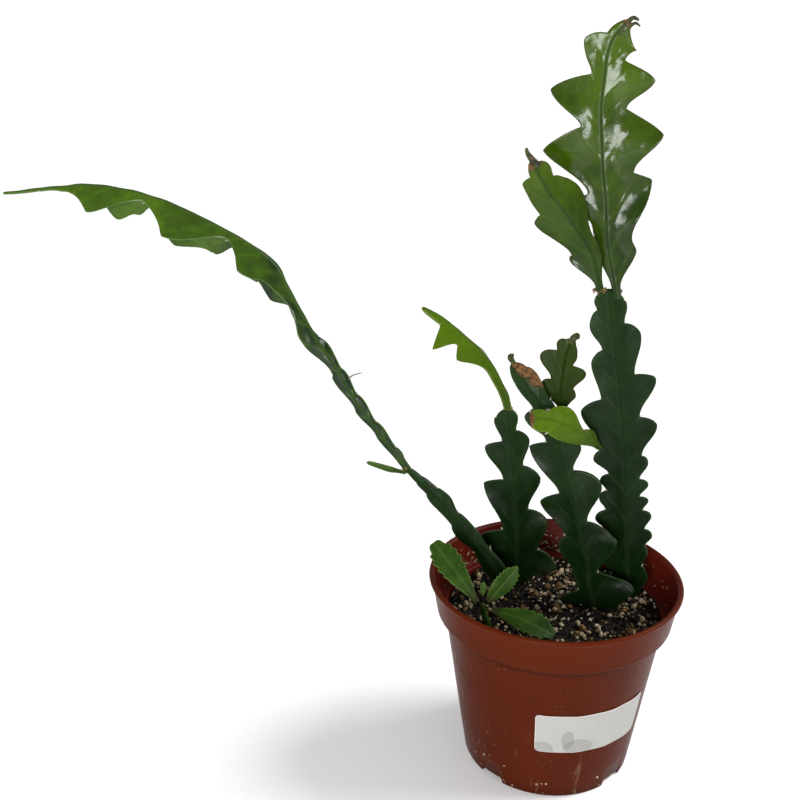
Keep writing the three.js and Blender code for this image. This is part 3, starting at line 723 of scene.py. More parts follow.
def cones(starts, ways, radius):
    """Three-sided spikes, all at once: a triangle across each start and a point at its end."""
    starts, ways = np.asarray(starts, float), np.asarray(ways, float)
    aside = unit(np.cross(ways, (0.31, 0.52, 0.79)))
    other = unit(np.cross(ways, aside))
    turns = np.array([0, 2.094, 4.189])[None, :, None]
    spokes = aside[:, None] * np.cos(turns) + other[:, None] * np.sin(turns)
    foot = starts[:, None] + radius * spokes
    points = np.concatenate([foot, (starts + ways)[:, None]], 1).reshape(-1, 3)
    pattern = np.array([[0, 1, 3], [1, 2, 3], [2, 0, 3], [0, 2, 1]])
    faces = (np.arange(len(starts))[:, None, None] * 4 + pattern).reshape(-1, 3)
    return points, [faces]


# ---- pot ----


def body_radius(z):
    """The pot's outer radius below its collar, straight from foot to ledge."""
    return BODY_FOOT + (BODY_TOP - BODY_FOOT) * z / LEDGE


def rounded(profile, radius, steps=5):
    """A closed profile with each corner replaced by a short quadratic curve that starts and
    ends on its sides, no farther than radius or two fifths of a side from the corner."""
    p = np.asarray(profile, float)
    before, after = np.roll(p, 1, 0) - p, np.roll(p, -1, 0) - p
    cut_b = np.minimum(radius, 0.4 * np.linalg.norm(before, axis=1))[:, None]
    cut_a = np.minimum(radius, 0.4 * np.linalg.norm(after, axis=1))[:, None]
    start, end = p + unit(before) * cut_b, p + unit(after) * cut_a
    t = np.linspace(0, 1, steps)[None, :, None]
    curve = (1 - t) ** 2 * start[:, None] + 2 * t * (1 - t) * p[:, None] + t**2 * end[:, None]
    return curve.reshape(-1, 2)


# The pot's floor: the ring that stands on the table, the raised part inside it, and the sunk
# middle, each as radius or height. The profile stops at the hub, which two fans close.
FOOT_RING = 31.5
SUNK = 21.4
FLOOR_TOP, FLOOR_UNDER, SUNK_TOP = 4.4, 3.0, 1.4
HUB = 1.0


def pot_profile():
    """The pot's cut face as (radius, height), up the outside, over the rim and down the inside."""
    floor_corner = FLOOR_TOP + 0.2
    return [
        (BODY_FOOT - 2.2, 0), (BODY_FOOT - 0.5, 0), (BODY_FOOT, 0.5), (body_radius(12), 12),
        (body_radius(30), 30), (body_radius(50), 50), (BODY_TOP, LEDGE),
        (COLLAR_FOOT - 0.4, LEDGE), (COLLAR_FOOT, LEDGE + 0.5), (COLLAR_TOP, POT_HEIGHT - RIM_LIP),
        (RIM_RADIUS - 0.3, POT_HEIGHT - 1.9), (RIM_RADIUS, POT_HEIGHT - 0.9),
        (RIM_RADIUS - 0.5, POT_HEIGHT - 0.1), (RIM_RADIUS - 1.5, POT_HEIGHT),
        (COLLAR_TOP - WALL, POT_HEIGHT - 1), (COLLAR_FOOT - WALL, LEDGE + 1.1),
        (body_radius(LEDGE + 1) - WALL, LEDGE + 1), (body_radius(40) - WALL, 40),
        (body_radius(floor_corner) - WALL, floor_corner), (FOOT_RING, FLOOR_TOP),
        (SUNK, FLOOR_TOP), (SUNK - 2.2, SUNK_TOP), (HUB, SUNK_TOP), (HUB, 0), (SUNK - 1.4, 0),
        (SUNK + 0.8, FLOOR_UNDER), (FOOT_RING, FLOOR_UNDER),
    ]


def pot_surface(corner, sides):
    """The pot's profile turned round the axis, with the foot lifted at four notches: near a
    notch's middle every point of the foot lower than the notch's height is raised to it. Returns
    the points, a row for each side, and the number of points in a row."""
    ring = rounded(pot_profile(), corner)
    turn = np.linspace(0, ROUND, sides, endpoint=False)
    gap = np.abs((np.degrees(turn)[:, None] - np.array(NOTCH_DEGREES) + 180) % 360 - 180).min(1)
    gap = np.radians(gap) * BODY_FOOT
    lift = NOTCH_HEIGHT * (1 - ease(gap, NOTCH_HALF_WIDTH - 0.45, NOTCH_HALF_WIDTH + 0.3))
    radius = np.broadcast_to(ring[:, 0], (sides, len(ring)))
    height = np.broadcast_to(ring[:, 1], (sides, len(ring)))
    foot = radius > FOOT_RING + 0.3
    height = np.where(foot, np.maximum(height, lift[:, None] * (height < NOTCH_HEIGHT)), height)
    wobble = 1 + 0.0006 * np.sin(3 * turn + 1)[:, None]
    x, y = radius * wobble * np.cos(turn)[:, None], radius * wobble * np.sin(turn)[:, None]
    rings = np.stack([x + POT_X, y + POT_Y, height + POT_FOOT], -1)
    return rings.reshape(-1, 3), len(ring)


def pot_mesh(corner, sides=288):
    """The turned pot with its floor's middle closed: quads that lie on the hub's wall are left
    out and each open ring is closed with a fan."""
    points, cols = pot_surface(corner, sides)
    quads = grid_faces(sides, cols, close_rows=True, close_cols=True)
    radius = np.hypot(points[:, 0] - POT_X, points[:, 1] - POT_Y)
    quads = quads[~(radius[quads] < HUB + 0.25).all(1)]
    used = set(quads[quads < cols])
    open_ends = [k for k in range(cols) if radius[k] < HUB + 0.45 and k in used]
    high = max(open_ends, key=lambda k: points[k, 2])
    deep = min(open_ends, key=lambda k: points[k, 2])
    rows = np.arange(sides) * cols
    count = len(points)
    middles = [[POT_X, POT_Y, points[high, 2]], [POT_X, POT_Y, points[deep, 2]]]
    points = np.concatenate([points, middles])
    fans = [fan_faces(rows + high, count), fan_faces((rows + deep)[::-1], count + 1)]
    tris = np.concatenate(fans)
    used = np.unique(np.concatenate([quads.ravel(), tris.ravel()]))
    order = np.full(len(points), -1)
    order[used] = np.arange(len(used))
    return points[used], [order[quads], order[tris][:, ::-1]]


# Colour of the painted shade under the collar, also used to darken the foot.
POT_COLLAR_SHADE_AND_FOOT = (0.016, 0.0030, 0.0010)
SOIL_SPLASH = (0.006, 0.003, 0.002)


def plastic_material(shell, inside, dust):
    """Moulded brown-red plastic: slow colour drift, faint turning rings, scuffs and dust specks,
    water marks low on the outside, painted shade under the collar, darker at the foot, and a
    redder inside whose colour is painted shade, kept clear of the collar shade and dark foot and
    told apart by a radius less than the middle of the wall's."""
    made = new_finish("terracotta_plastic")
    place = made.place()
    x, y, height = (made.axis(place, letter) for letter in "XYZ")
    radius = (x * x + y * y) ** 0.5
    cloud, fine = made.noise(38, 4.0), made.noise(320, 3.0)
    colour = made.mix(made.swing(cloud, 1.5), shell, scaled(shell, 0.78))
    colour = made.mix(height.between(0.060, 0.083) * 0.35, colour, scaled(shell, 1.35))

    body_middle = height * ((BODY_TOP - BODY_FOOT) / LEDGE) + (BODY_FOOT - WALL / 2) * MM
    in_body = 1 - (radius - body_middle).between(-0.0002, 0.0002)
    above = height.between(LEDGE * MM, (LEDGE + 0.6) * MM)
    collar_middle = (height - LEDGE * MM) * COLLAR_SLOPE + (COLLAR_FOOT - WALL / 2) * MM
    in_collar = 1 - (radius - collar_middle).between(-0.0002, 0.0002)
    within = (in_body + above * in_collar).clamped()
    # Painted shade: the inside wall gets its own redder, less green colour for the dim inside of
    # the pot.
    colour = made.mix(within, colour, inside)

    # Painted shade: a dark band under the collar's ledge, where its overhang casts shadow; the foot
    # is also darker towards the bottom.
    under_collar_shade = height.between((LEDGE - 5.2) * MM, (LEDGE - 1.2) * MM)
    under_collar_shade = under_collar_shade * (1 - height.between(LEDGE * MM, (LEDGE + 0.4) * MM))
    foot = 1 - height.between(0.0, 0.006)
    collar_shade_and_dark_foot = ((under_collar_shade * 0.75 + foot * 0.4) * (1 - within)).clamped()
    colour = made.mix(collar_shade_and_dark_foot, colour, POT_COLLAR_SHADE_AND_FOOT)
    low = 1 - height.between(0.004, 0.045)
    specks = 1 - made.cells(420).between(0.06, 0.13)
    specks = specks * made.noise(60, 2.0).between(0.55, 0.66)
    colour = made.mix(specks * (0.25 + low * 0.6), colour, dust)
    splashes = 1 - made.cells(130).between(0.035, 0.085)
    colour = made.mix(splashes * 0.85, colour, SOIL_SPLASH)
    streak = made.noise(1.0, 4.0, 0.6, at=made.stretched(160, 160, 22)).between(0.58, 0.72) * low
    colour = made.mix(streak * 0.18, colour, dust)

    rough = (0.36 + (fine - 0.5) * 0.2 + (cloud - 0.5) * 0.25 + streak * 0.12).clamped()
    turning = height * 5200
    rings = turning.maths("SINE", turning) * 0.1
    grain = made.noise(700, 3.0) * 0.5 + made.noise(90, 2.0) * 0.9 + rings
    normal = made.bump(grain, 0.00022, 0.5)
    return made.surface(
        Base_Color=colour, Roughness=rough, Normal=normal, IOR=1.46, Specular_IOR_Level=0.045
    )


# The sticker's ends in degrees round the pot, its corners' radius, the pot's radius under its
# middle, and the paper's thickness.
LABEL_START, LABEL_END = -95.5, -27.0
LABEL_CORNER = 1.6
LABEL_BEND = 41.4
PAPER = 0.16


def label_surface(columns=72, end_columns=8, rows=28):
    """A sticker bent round the cone: columns run along it, each a strip from foot to top, with
    four corners rounded by drawing the first and last columns in along a circle. It is a thin
    closed sheet whose edge lifts by exp(-distance from the edge), with one raised crease."""
    length = np.radians(LABEL_END - LABEL_START) * LABEL_BEND
    first, last = np.linspace(0, 0.035, end_columns), np.linspace(0.965, 1, end_columns)
    u = np.concatenate([first, np.linspace(0.04, 0.96, columns), last])
    v = np.linspace(0, 1, rows)
    from_end = np.minimum(u, 1 - u) * length
    bite = np.clip(LABEL_CORNER - from_end, 0, None)
    inset = LABEL_CORNER - np.sqrt(np.clip(LABEL_CORNER**2 - bite**2, 0, None))
    low, high = LABEL_LOW + inset, LABEL_HIGH - inset
    z = low[:, None] + (high - low)[:, None] * v[None]
    turn = np.radians(LABEL_START + (LABEL_END - LABEL_START) * u)[:, None]
    edge = np.minimum(from_end[:, None], np.minimum(z - LABEL_LOW, LABEL_HIGH - z))
    lift = 0.1 + 0.22 * np.exp(-edge / 0.8) * (0.5 + 0.5 * np.sin(u * 23)[:, None])
    lift = lift + 0.05 * bell(u, 0.33, 0.012)[:, None]
    layers = []
    for extra in (0.0, PAPER):
        r = body_radius(z) + lift + extra
        layers.append(np.stack([r * np.cos(turn) + POT_X, r * np.sin(turn) + POT_Y, z], -1))
    points, faces = closed_tube(np.concatenate([layers[0], layers[1][:, ::-1]], 1))
    grids = {
        "sheet_x": np.broadcast_to(u[:, None] * length, z.shape),
        "sheet_y": z - LABEL_LOW,
        "edge_gap": np.maximum(edge, 0),
    }
    return points, faces, sheet_values(grids, slice(None, None, -1))


# Damp stains on the sticker: the middle and the half sizes, from its lower left corner.
STAINS = ((3.2, 1.2, 4.6, 4.2), (18, 2.6, 6.4, 4.0), (13.4, 6.4, 2.6, 4.6))
SPOT = (12.7, 6.0)
SPOT_COLOUR = (0.12, 0.11, 0.10)
WORN_EDGE = (0.78, 0.66, 0.58)


def paper_material(paper, damp):
    """Blank sticker paper: fibres, a warm edge, and grey damp stains with darker borders."""
    made = new_finish("label_paper")
    x, y, edge = made.value("sheet_x"), made.value("sheet_y"), made.value("edge_gap")
    fibre, cloud = made.noise(1500, 4.0, 0.65), made.noise(120, 3.0)
    colour = made.mix(made.swing(cloud, 1.4, 0.4), paper, scaled(paper, 0.9))
    wander = (made.noise(350, 3.0) - 0.5) * 0.288

    def stain(cx, cy, rx, ry):
        reach = (((x - cx) / rx) ** 2.0 + ((y - cy) / ry) ** 2.0) ** 0.5 + wander
        fill = 1 - reach.between(0.85, 1.05)
        return fill * 0.55 + reach.between(0.75, 0.95) * fill * 0.35

    first, second, third = (stain(*place) for place in STAINS)
    stains = (first + second + third).clamped()
    colour = made.mix(stains, colour, damp)
    from_spot = ((x - SPOT[0]) ** 2.0 + (y - SPOT[1]) ** 2.0) ** 0.5
    colour = made.mix((1 - from_spot.between(0.2, 0.5)) * 0.6, colour, SPOT_COLOUR)
    colour = made.mix((1 - edge.between(0.05, 0.5)) * 0.35, colour, WORN_EDGE)
    rough = (0.62 + (fibre - 0.5) * 0.25 - stains * 0.1).clamped()
    normal = made.bump(fibre * 0.5 + cloud + stains * 0.3, 0.00012, 0.6)
    return made.surface(Base_Color=colour, Roughness=rough, Normal=normal, IOR=1.45)


# ---- soil ----


def soil_height(x, y):
    """Height of the soil: a slight rise to the front right and two sizes of soft lumps."""
    slope = 0.9 * np.tanh((x - y) / 40)
    swell = 0.5 * np.sin(x * 0.23 + 1) * np.cos(y * 0.27) + 0.3 * np.sin(x * 0.41 - y * 0.37)
    return SOIL_LEVEL + slope + swell


# Heights of the soil's rings down the pot's wall.
SOIL_RINGS = (58.0, 30.0, 5.2)


def soil_surface(crumble, rings=90, sides=260):
    """Soil as rings about the axis: rings drawn out over the top with a crumbly height, then
    down the pot's wall to the floor. The height adds noise of three sizes to the slope."""
    wall = body_radius(SOIL_LEVEL) - WALL - 0.15
    r = np.linspace(0.4, wall, rings)[:, None]
    turn = np.linspace(0, ROUND, sides, endpoint=False)[None]
    x, y = r * np.cos(turn), r * np.sin(turn)
    zero = np.zeros_like(x)
    rough = lumps(x, y, zero, 7.0, 11) * 0.45 + lumps(x, y, zero, 2.6, 12) * 0.35
    rough = rough + lumps(x, y, zero, 1.2, 13) * 0.22
    top = soil_height(x, y) + crumble * rough
    rows = [np.stack([x + POT_X, y + POT_Y, top], -1)]
    for z in SOIL_RINGS:
        r = body_radius(z) - WALL - 0.3
        x, y = r * np.cos(turn) + POT_X, r * np.sin(turn) + POT_Y
        rows.append(np.stack([x, y, zero[:1] + z], -1))
    return closed_tube(np.concatenate(rows))


GRAIN_ROWS, GRAIN_SIDES = 4, 7


def ball():
    """Corners of a unit ball: rings at even angles from pole to pole, and the two poles."""
    lat = np.linspace(0, math.pi, GRAIN_ROWS + 2)[1:-1, None]
    lon = np.linspace(0, ROUND, GRAIN_SIDES, endpoint=False)[None]
    rings = np.stack(
        [np.sin(lat) * np.cos(lon), np.sin(lat) * np.sin(lon), np.cos(lat) + 0 * lon], -1
    )
    return np.concatenate([rings.reshape(-1, 3), [[0, 0, 1], [0, 0, -1]]])


def random_turns(count, rng):
    """Turning matrices of random unit quaternions, by the usual sums of their products."""
    w, x, y, z = unit(rng.normal(size=(count, 4))).T
    rows = [
        np.stack([1 - 2 * (y * y + z * z), 2 * (x * y - z * w), 2 * (x * z + y * w)], -1),
        np.stack([2 * (x * y + z * w), 1 - 2 * (x * x + z * z), 2 * (y * z - x * w)], -1),
        np.stack([2 * (x * z - y * w), 2 * (y * z + x * w), 1 - 2 * (x * x + y * y)], -1),
    ]
    return np.stack(rows, 1)


def grains(places, sizes, flats, rng, roughness=0.22):
    """Lumpy grains, all at once: a ball of a few corners scaled on three axes, its corners
    pushed in and out at random, turned at random and set at its place."""
    corners = ball()
    count, each = len(places), len(corners)
    push = 1 + roughness * rng.normal(size=(count, each, 1))
    body = corners[None] * push * (sizes[:, None, None] * flats[:, None, :])
    body = np.einsum("nij,nkj->nki", random_turns(count, rng), body) + places[:, None]
    quads = grid_faces(GRAIN_ROWS, GRAIN_SIDES, close_cols=True)
    first = np.arange(GRAIN_SIDES)
    last = first + (GRAIN_ROWS - 1) * GRAIN_SIDES
    tips = np.concatenate([fan_faces(first[::-1], each - 2), fan_faces(last, each - 1)])
    shift = (np.arange(count) * each)[:, None, None]
    faces = [(quads[None] + shift).reshape(-1, 4), (tips[None] + shift).reshape(-1, 3)]
    tint = np.repeat(rng.random(count), each)
    return body.reshape(-1, 3), faces, {"tint": tint}


def scatter(count, low, high, rng):
    """Random places on the soil, even over its area, and sizes between low and high: a power of
    a random number, so that small ones abound."""
    wall = body_radius(SOIL_LEVEL) - WALL - 0.6
    radius = np.sqrt(rng.uniform(0, wall**2, count))
    turn = rng.uniform(0, ROUND, count)
    size = low + (high - low) * rng.random(count) ** 2.2
    radius = np.minimum(radius, wall - size)
    x, y = radius * np.cos(turn), radius * np.sin(turn)
    z = soil_height(x, y) + size * rng.uniform(-0.1, 0.6, count)
    return np.stack([x + POT_X, y + POT_Y, z], -1), size


def grit_points(rng, count):
    """Grains stuck to the pot: most on the inner wall and ledge at the back, a few outside low
    down at the front."""
    back = int(count * 0.94)
    behind = np.arange(count) < back
    turn = np.concatenate([rng.normal(95, 34, back), rng.uniform(-150, -30, count - back)])
    turn = np.radians(turn)
    lift = rng.random(count) ** 1.6
    z = np.where(behind, LEDGE + 1.4 + lift * 11, 1.5 + lift * 12)
    inner = COLLAR_FOOT - WALL + COLLAR_SLOPE * (z - LEDGE)
    r = np.where(behind, inner - 0.12, body_radius(z) + 0.05)
    size = rng.uniform(0.16, 0.62, count)
    return np.stack([r * np.cos(turn) + POT_X, r * np.sin(turn) + POT_Y, z + POT_FOOT], -1), size


PEAT_FIBRE = (0.030, 0.018, 0.009)
FINE_GRIT = (0.10, 0.08, 0.05)


def soil_material(peat):
    """Damp peat: near-black crumbs with brown fibres and glints of moisture."""
    made = new_finish("potting_soil")
    coarse, fine = made.noise(260, 5.0, 0.65), made.noise(1400, 4.0, 0.7)
    colour = made.mix(coarse.between(0.38, 0.66), scaled(peat, 0.4), peat)
    colour = made.mix(fine.between(0.56, 0.68) * 0.7, colour, PEAT_FIBRE)
    grit = 1 - made.cells(800).between(0.12, 0.3)
    grit = grit * made.noise(220, 1.0).between(0.5, 0.62)
    colour = made.mix(grit * 0.7, colour, FINE_GRIT)
    rough = (0.55 + (fine - 0.5) * 0.9).clamped()
    normal = made.bump(coarse + fine * 0.7, 0.0012, 0.9)
    return made.surface(Base_Color=colour, Roughness=rough, Normal=normal, Specular_IOR_Level=0.1)


def grain_material(name, light, dark, stain):
    """Loose grains: each one's own tint between two colours, pitted and stained by the soil."""
    made = new_finish(name)
    tint = made.value("tint")
    colour = made.mix(tint, light, dark)
    pits = made.cells(2200).between(0.1, 0.45)
    dirt = made.noise(700, 4.0).between(0.48, 0.68)
    colour = made.mix(dirt * 0.7, colour, stain)
    colour = made.mix((1 - pits) * 0.5, colour, stain)
    normal = made.bump(pits * 0.6 + made.noise(1500, 3.0), 0.0003, 0.8)
    rough = (0.7 + (made.noise(500) - 0.5) * 0.5).clamped()
    return made.surface(Base_Color=colour, Roughness=rough, Normal=normal, Specular_IOR_Level=0.15)


# ---- seedling ----

# Each leaf's root and tip from the pot's middle at soil level, the way its face looks, its half
# width, how far it arches, its teeth, how blunt its end is and how far out it is widest.
LEAVES = {
    "seedling_leaf_left": {
        "root": (-30, -19.5, 10.6), "tip": (-49.5, -9, 30.5), "face": (0.25, -0.75, 0.6),
        "half": 5.6, "sag": 1.2, "teeth": 9, "blunt": 0.8, "swell": 1.5,
    },
    "seedling_leaf_right": {
        "root": (-23.8, -21, 8.6), "tip": (1.5, -28.5, 4.6), "face": (0.05, -0.45, 0.9),
        "half": 5.4, "sag": 2, "teeth": 8, "blunt": 0.6, "swell": 1.3,
    },
    "seedling_leaf_upright": {
        "root": (-25.8, -19.8, 12), "tip": (-14.6, -16, 26.6), "face": (0.3, -0.9, 0.3),
        "half": 3.9, "sag": 0.6, "teeth": 10, "blunt": 0.15, "swell": 1.0,
    },
    "seedling_leaf_bud": {
        "root": (-28, -16.4, 12.4), "tip": (-27.9, -15.6, 18), "face": (0, -1, 0.2),
        "half": 1.3, "sag": 0.2, "teeth": 5, "blunt": 0.1, "swell": 1.0,
    },
}


TOOTH_RISE = 0.8


def leaf_surface(leaf, stations=220, across=21):
    """A fleshy toothed leaf. Its half width is half sin(pi (0.05 + 0.8 t^swell)) to the power
    0.85, cut by saw teeth past the middle and across a blunt end; it is cupped by the square of
    the distance from its midrib, and arched by sag sin(pi t) along its length."""
    root, tip = (np.array(leaf[end], float) + SOIL_MIDDLE for end in ("root", "tip"))
    along = unit(tip - root)
    side = unit(np.cross(np.array(leaf["face"], float), along))
    up = unit(np.cross(along, side))
    length = np.linalg.norm(tip - root)
    t = np.linspace(0, 1, stations)
    shape = np.sin(math.pi * (0.05 + 0.8 * t ** leaf["swell"])) ** 0.85
    cut = 1 - (1 - leaf["blunt"]) * np.clip((t - 0.8) / 0.2, 0, 1) ** 2.2
    phase = (t * leaf["teeth"]) % 1
    falling = 1 - (phase - TOOTH_RISE) / (1 - TOOTH_RISE)
    teeth = np.where(phase < TOOTH_RISE, np.clip(phase / TOOTH_RISE, 0, 1), falling)
    width = leaf["half"] * shape * cut
    bite = 0.2 * leaf["half"] * ease(t, 0.35, 0.6)
    width = np.maximum(width + bite * (teeth - 0.6), 0.45)
    w = np.sin(np.linspace(-1, 1, across) * math.pi / 2)[None]
    arch = (leaf["sag"] * np.sin(math.pi * t))[:, None]
    middle = root + along * (t * length)[:, None] + up * arch
    saw = np.abs((w * 2.5) % 1 - 0.5) * 2 - 0.6 - 0.5 * w * w
    stretch = ease(t, 0.85, 1)[:, None] * saw * leaf["blunt"] * 1.5
    cup = 0.1 * leaf["half"] * (w**2) * shape[:, None] - 0.18 * np.exp(-((w / 0.12) ** 2))
    half = (0.62 - 0.22 * t)[:, None] * np.sqrt(np.clip(1 - np.abs(w) ** 3, 0, 1)) + 0.02
    flesh = middle[:, None] + side * (w * width[:, None])[..., None] + along * stretch[..., None]
    lift = cup + 0.25 * np.sin(t * 9 + 1)[:, None] * w**2
    top = flesh + up * (lift + half)[..., None]
    low = flesh + up * (lift - half)[..., None]
    points, faces = closed_tube(np.concatenate([top, low[:, -2:0:-1]], 1))
    far = np.abs(w) * width[:, None]
    grids = {
        "edge_gap": (1 - np.abs(w)) * width[:, None],
        "rib_gap": far,
        "along": np.broadcast_to(t[:, None], far.shape),
    }
    return points, faces, sheet_values(grids, slice(-2, 0, -1))


STALK_BASE = (0.022, 0.020, 0.006)
LEAF_EDGE = (0.070, 0.125, 0.022)


def leaf_material(deep, fresh):
    """Matt fleshy leaf: mottled, fresher towards its root, with a paler toothed edge and midrib
    and a brown base."""
    made = new_finish("seedling_skin")
    edge_gap, rib_gap, along = made.value("edge_gap"), made.value("rib_gap"), made.value("along")
    cloud, fine = made.noise(130, 4.0), made.noise(900, 3.0)
    factor = ((cloud - 0.5) * 2.2 + 0.35 + (1 - along) * 0.3).clamped()
    colour = made.mix(factor, deep, fresh)
    colour = made.mix((1 - edge_gap.between(0.1, 0.7)) * 0.55, colour, LEAF_EDGE)
    colour = made.mix((1 - rib_gap.between(0.1, 0.5)) * 0.3, colour, LEAF_EDGE)
    colour = made.mix(fine.between(0.55, 0.75) * 0.2, colour, deep)
    stalk = 1 - (along + (cloud - 0.5) * 0.3).between(0.0, 0.28)
    colour = made.mix(stalk * 0.8, colour, STALK_BASE)
    rough = (0.44 + (fine - 0.5) * 0.3).clamped()
    normal = made.bump(made.noise(260, 2.0) + fine * 0.25, 0.0005, 0.5)
    return made.surface(
        Base_Color=colour, Roughness=rough, Normal=normal, IOR=1.42, Specular_IOR_Level=0.12
    )


def tube_surface(points, radii, sides=14, stations=60):
    """A round tube along a centripetal curve; the radius is read off evenly spread stops."""
    run, line = centripetal(np.asarray(points, float) + SOIL_MIDDLE, stations)
    along = unit(np.gradient(line, axis=0))
    aside = unit(np.cross(along, (0.3, 0.9, 0.2)))
    other = np.cross(along, aside)
    radius = np.interp(run / run[-1], np.linspace(0, 1, len(radii)), radii)
    turn = np.linspace(0, ROUND, sides, endpoint=False)[None, :, None]
    spoke = aside[:, None] * np.cos(turn) + other[:, None] * np.sin(turn)
    points, faces = closed_tube(line[:, None] + spoke * radius[:, None, None])
    share = np.repeat(run / run[-1], sides)
    return points, faces, {"along": np.concatenate([share, [0, 1]])}


SEEDLING_STEM = [(-24.5, -20.5, -9), (-25.5, -20, 1), (-27, -19.5, 6), (-27.8, -19, 10)]
SEEDLING_RADII = (1.3, 1.4, 1.5, 1.6, 1.2, 0.8)
AERIAL_ROOT = [(-88.8, 10.3, 92.4), (-87.2, 10, 93.9), (-85.5, 9.8, 94.8), (-82.2, 9.6, 95.8)]
AERIAL_RADII = (0.34, 0.32, 0.28, 0.22, 0.12)
ROOT_LIGHT, ROOT_DARK = (0.13, 0.09, 0.08), (0.045, 0.03, 0.028)
WITHERED_GREEN, WITHERED_DARK = (0.030, 0.046, 0.008), (0.010, 0.008, 0.003)
WITHERED_BROWN = (0.085, 0.040, 0.016)
BRISTLE_LIGHT, BRISTLE_DARK = (0.62, 0.60, 0.50), (0.34, 0.31, 0.23)


def root_material():
    """Dry grey-brown root with lengthwise fibres."""
    made = new_finish("dry_root")
    grain = made.noise(900, 4.0)
    colour = made.mix(grain, ROOT_LIGHT, ROOT_DARK)
    normal = made.bump(grain, 0.0002, 0.8)
    return made.surface(Base_Color=colour, Roughness=0.6 + grain * 0.3, Normal=normal)


def withered_material():
    """Shrunken tip: olive brown with dark lengthwise creases."""
    made = new_finish("withered_tip")
    grain = made.noise(650, 4.0, 0.65)
    colour = made.mix(grain.between(0.4, 0.62), WITHERED_GREEN, WITHERED_DARK)
    colour = made.mix(made.noise(260, 2.0).between(0.55, 0.7) * 0.6, colour, WITHERED_BROWN)
    normal = made.bump(grain, 0.0006, 0.9)
    return made.surface(
        Base_Color=colour, Roughness=0.4 + grain * 0.3, Normal=normal, Specular_IOR_Level=0.2
    )


def bristle_material():
    """Pale bristle hair, a little darker from one tuft to the next."""
    made = new_finish("areole_hair")
    tone = made.noise(300, 2.0)
    colour = made.mix(tone, BRISTLE_LIGHT, BRISTLE_DARK)
    return made.surface(Base_Color=colour, Roughness=0.4 + tone * 0.2)


# ---- joints and tips ----

# Each joint's middle, its radius and how many corky crumbs ring it.
JOINTS = [
    ((17, 13.7, 133.4), 2.0, 34), ((10.8, 12.6, 133.6), 2.2, 46), ((-64.4, 10.5, 54.4), 1.5, 34),
    ((-22.9, 20.3, 80.0), 1.5, 18), ((-0.7, 10, 84.3), 1.6, 14), ((14.8, 11.6, 69.2), 0.9, 12),
]
# Withered threads: the stem, steps across and up from the end of its rib, and radii.
THREADS = [
    ("stem_right_upper",
     [(-3.5, -4.4), (-1.6, -1.8), (1, 0.6), (3, -0.2)], (1.2, 1.1, 0.8, 0.45)),
    ("stem_right_upper",
     [(-4, -5.4), (-1.4, -3.4), (1.8, -1.2), (3.6, -2.2)], (1.0, 0.9, 0.6, 0.3)),
    ("stem_right_side_shoot",
     [(2.6, -2.7), (0, 0.1), (-1.6, 2.3), (-2, 3.9)], (1.4, 1.3, 1.0, 0.5)),
    ("stem_middle_lower",
     [(2.6, -1.3), (0.4, 0.9), (-0.4, 2.7), (0.8, 3.5)], (1.2, 0.9, 1.3, 0.6)),
    ("stem_middle_upper",
     [(-0.6, -2.1), (0.4, 0.1), (1.6, 1.1), (2, -0.3)], (1.3, 1.4, 1.2, 0.6)),
]


def thread_line(name, steps):
    """The thread's points from the pot's middle at soil level, in the plane of its stem."""
    across, up, _ = plane_of(STEMS[name])
    end = Blade(STEMS[name]).line[-1] - SOIL_MIDDLE
    return [end + across * x + up * z for x, z in steps]


def crust_points(rng):
    """Places and sizes of the corky crumbs: rings round each joint, a little out of round."""
    places, sizes = [], []
    for middle, radius, count in JOINTS:
        turn = rng.uniform(0, ROUND, count)
        far = radius * rng.uniform(0.75, 1.2, count)
        flat = 0.62 * far * np.sin(turn)
        drop = rng.normal(0, 0.45, count) - 0.4
        offs = np.stack([far * np.cos(turn), flat, drop], -1)
        places.append(SOIL_MIDDLE + middle + offs)
        sizes.append(rng.uniform(0.22, 0.6, count))
    return np.concatenate(places), np.concatenate(sizes)


# ---- settings ----


class PotSettings(bpy.types.PropertyGroup):
    shell: bpy.props.FloatVectorProperty(
        name="Shell Colour", description="Colour of the outside of the pot",
        subtype="COLOR", default=(0.056, 0.0080, 0.0014), min=0, max=1,
    )
    # The inside colour is painted shade: redder and less green than the shell, for the dim inside
    # of the pot.
    inside: bpy.props.FloatVectorProperty(
        name="Inside Colour", description="Colour of the inside wall",
        subtype="COLOR", default=(0.062, 0.0065, 0.0030), min=0, max=1,
    )
    dust: bpy.props.FloatVectorProperty(
        name="Dust Colour", description="Colour of the dried specks and water marks",
        subtype="COLOR", default=(0.36, 0.25, 0.16), min=0, max=1,
    )
    corner: bpy.props.FloatProperty(
        name="Corner Radius", description="Rounding of the moulded corners, in millimetres",
        default=0.7, min=0.1, max=2.0,
    )


class LabelSettings(bpy.types.PropertyGroup):
    paper: bpy.props.FloatVectorProperty(
        name="Paper Colour", description="Colour of the dry sticker",
        subtype="COLOR", default=(0.29, 0.285, 0.275), min=0, max=1,
    )
    damp: bpy.props.FloatVectorProperty(
        name="Damp Colour", description="Colour of the wet stains",
        subtype="COLOR", default=(0.165, 0.165, 0.16), min=0, max=1,
    )


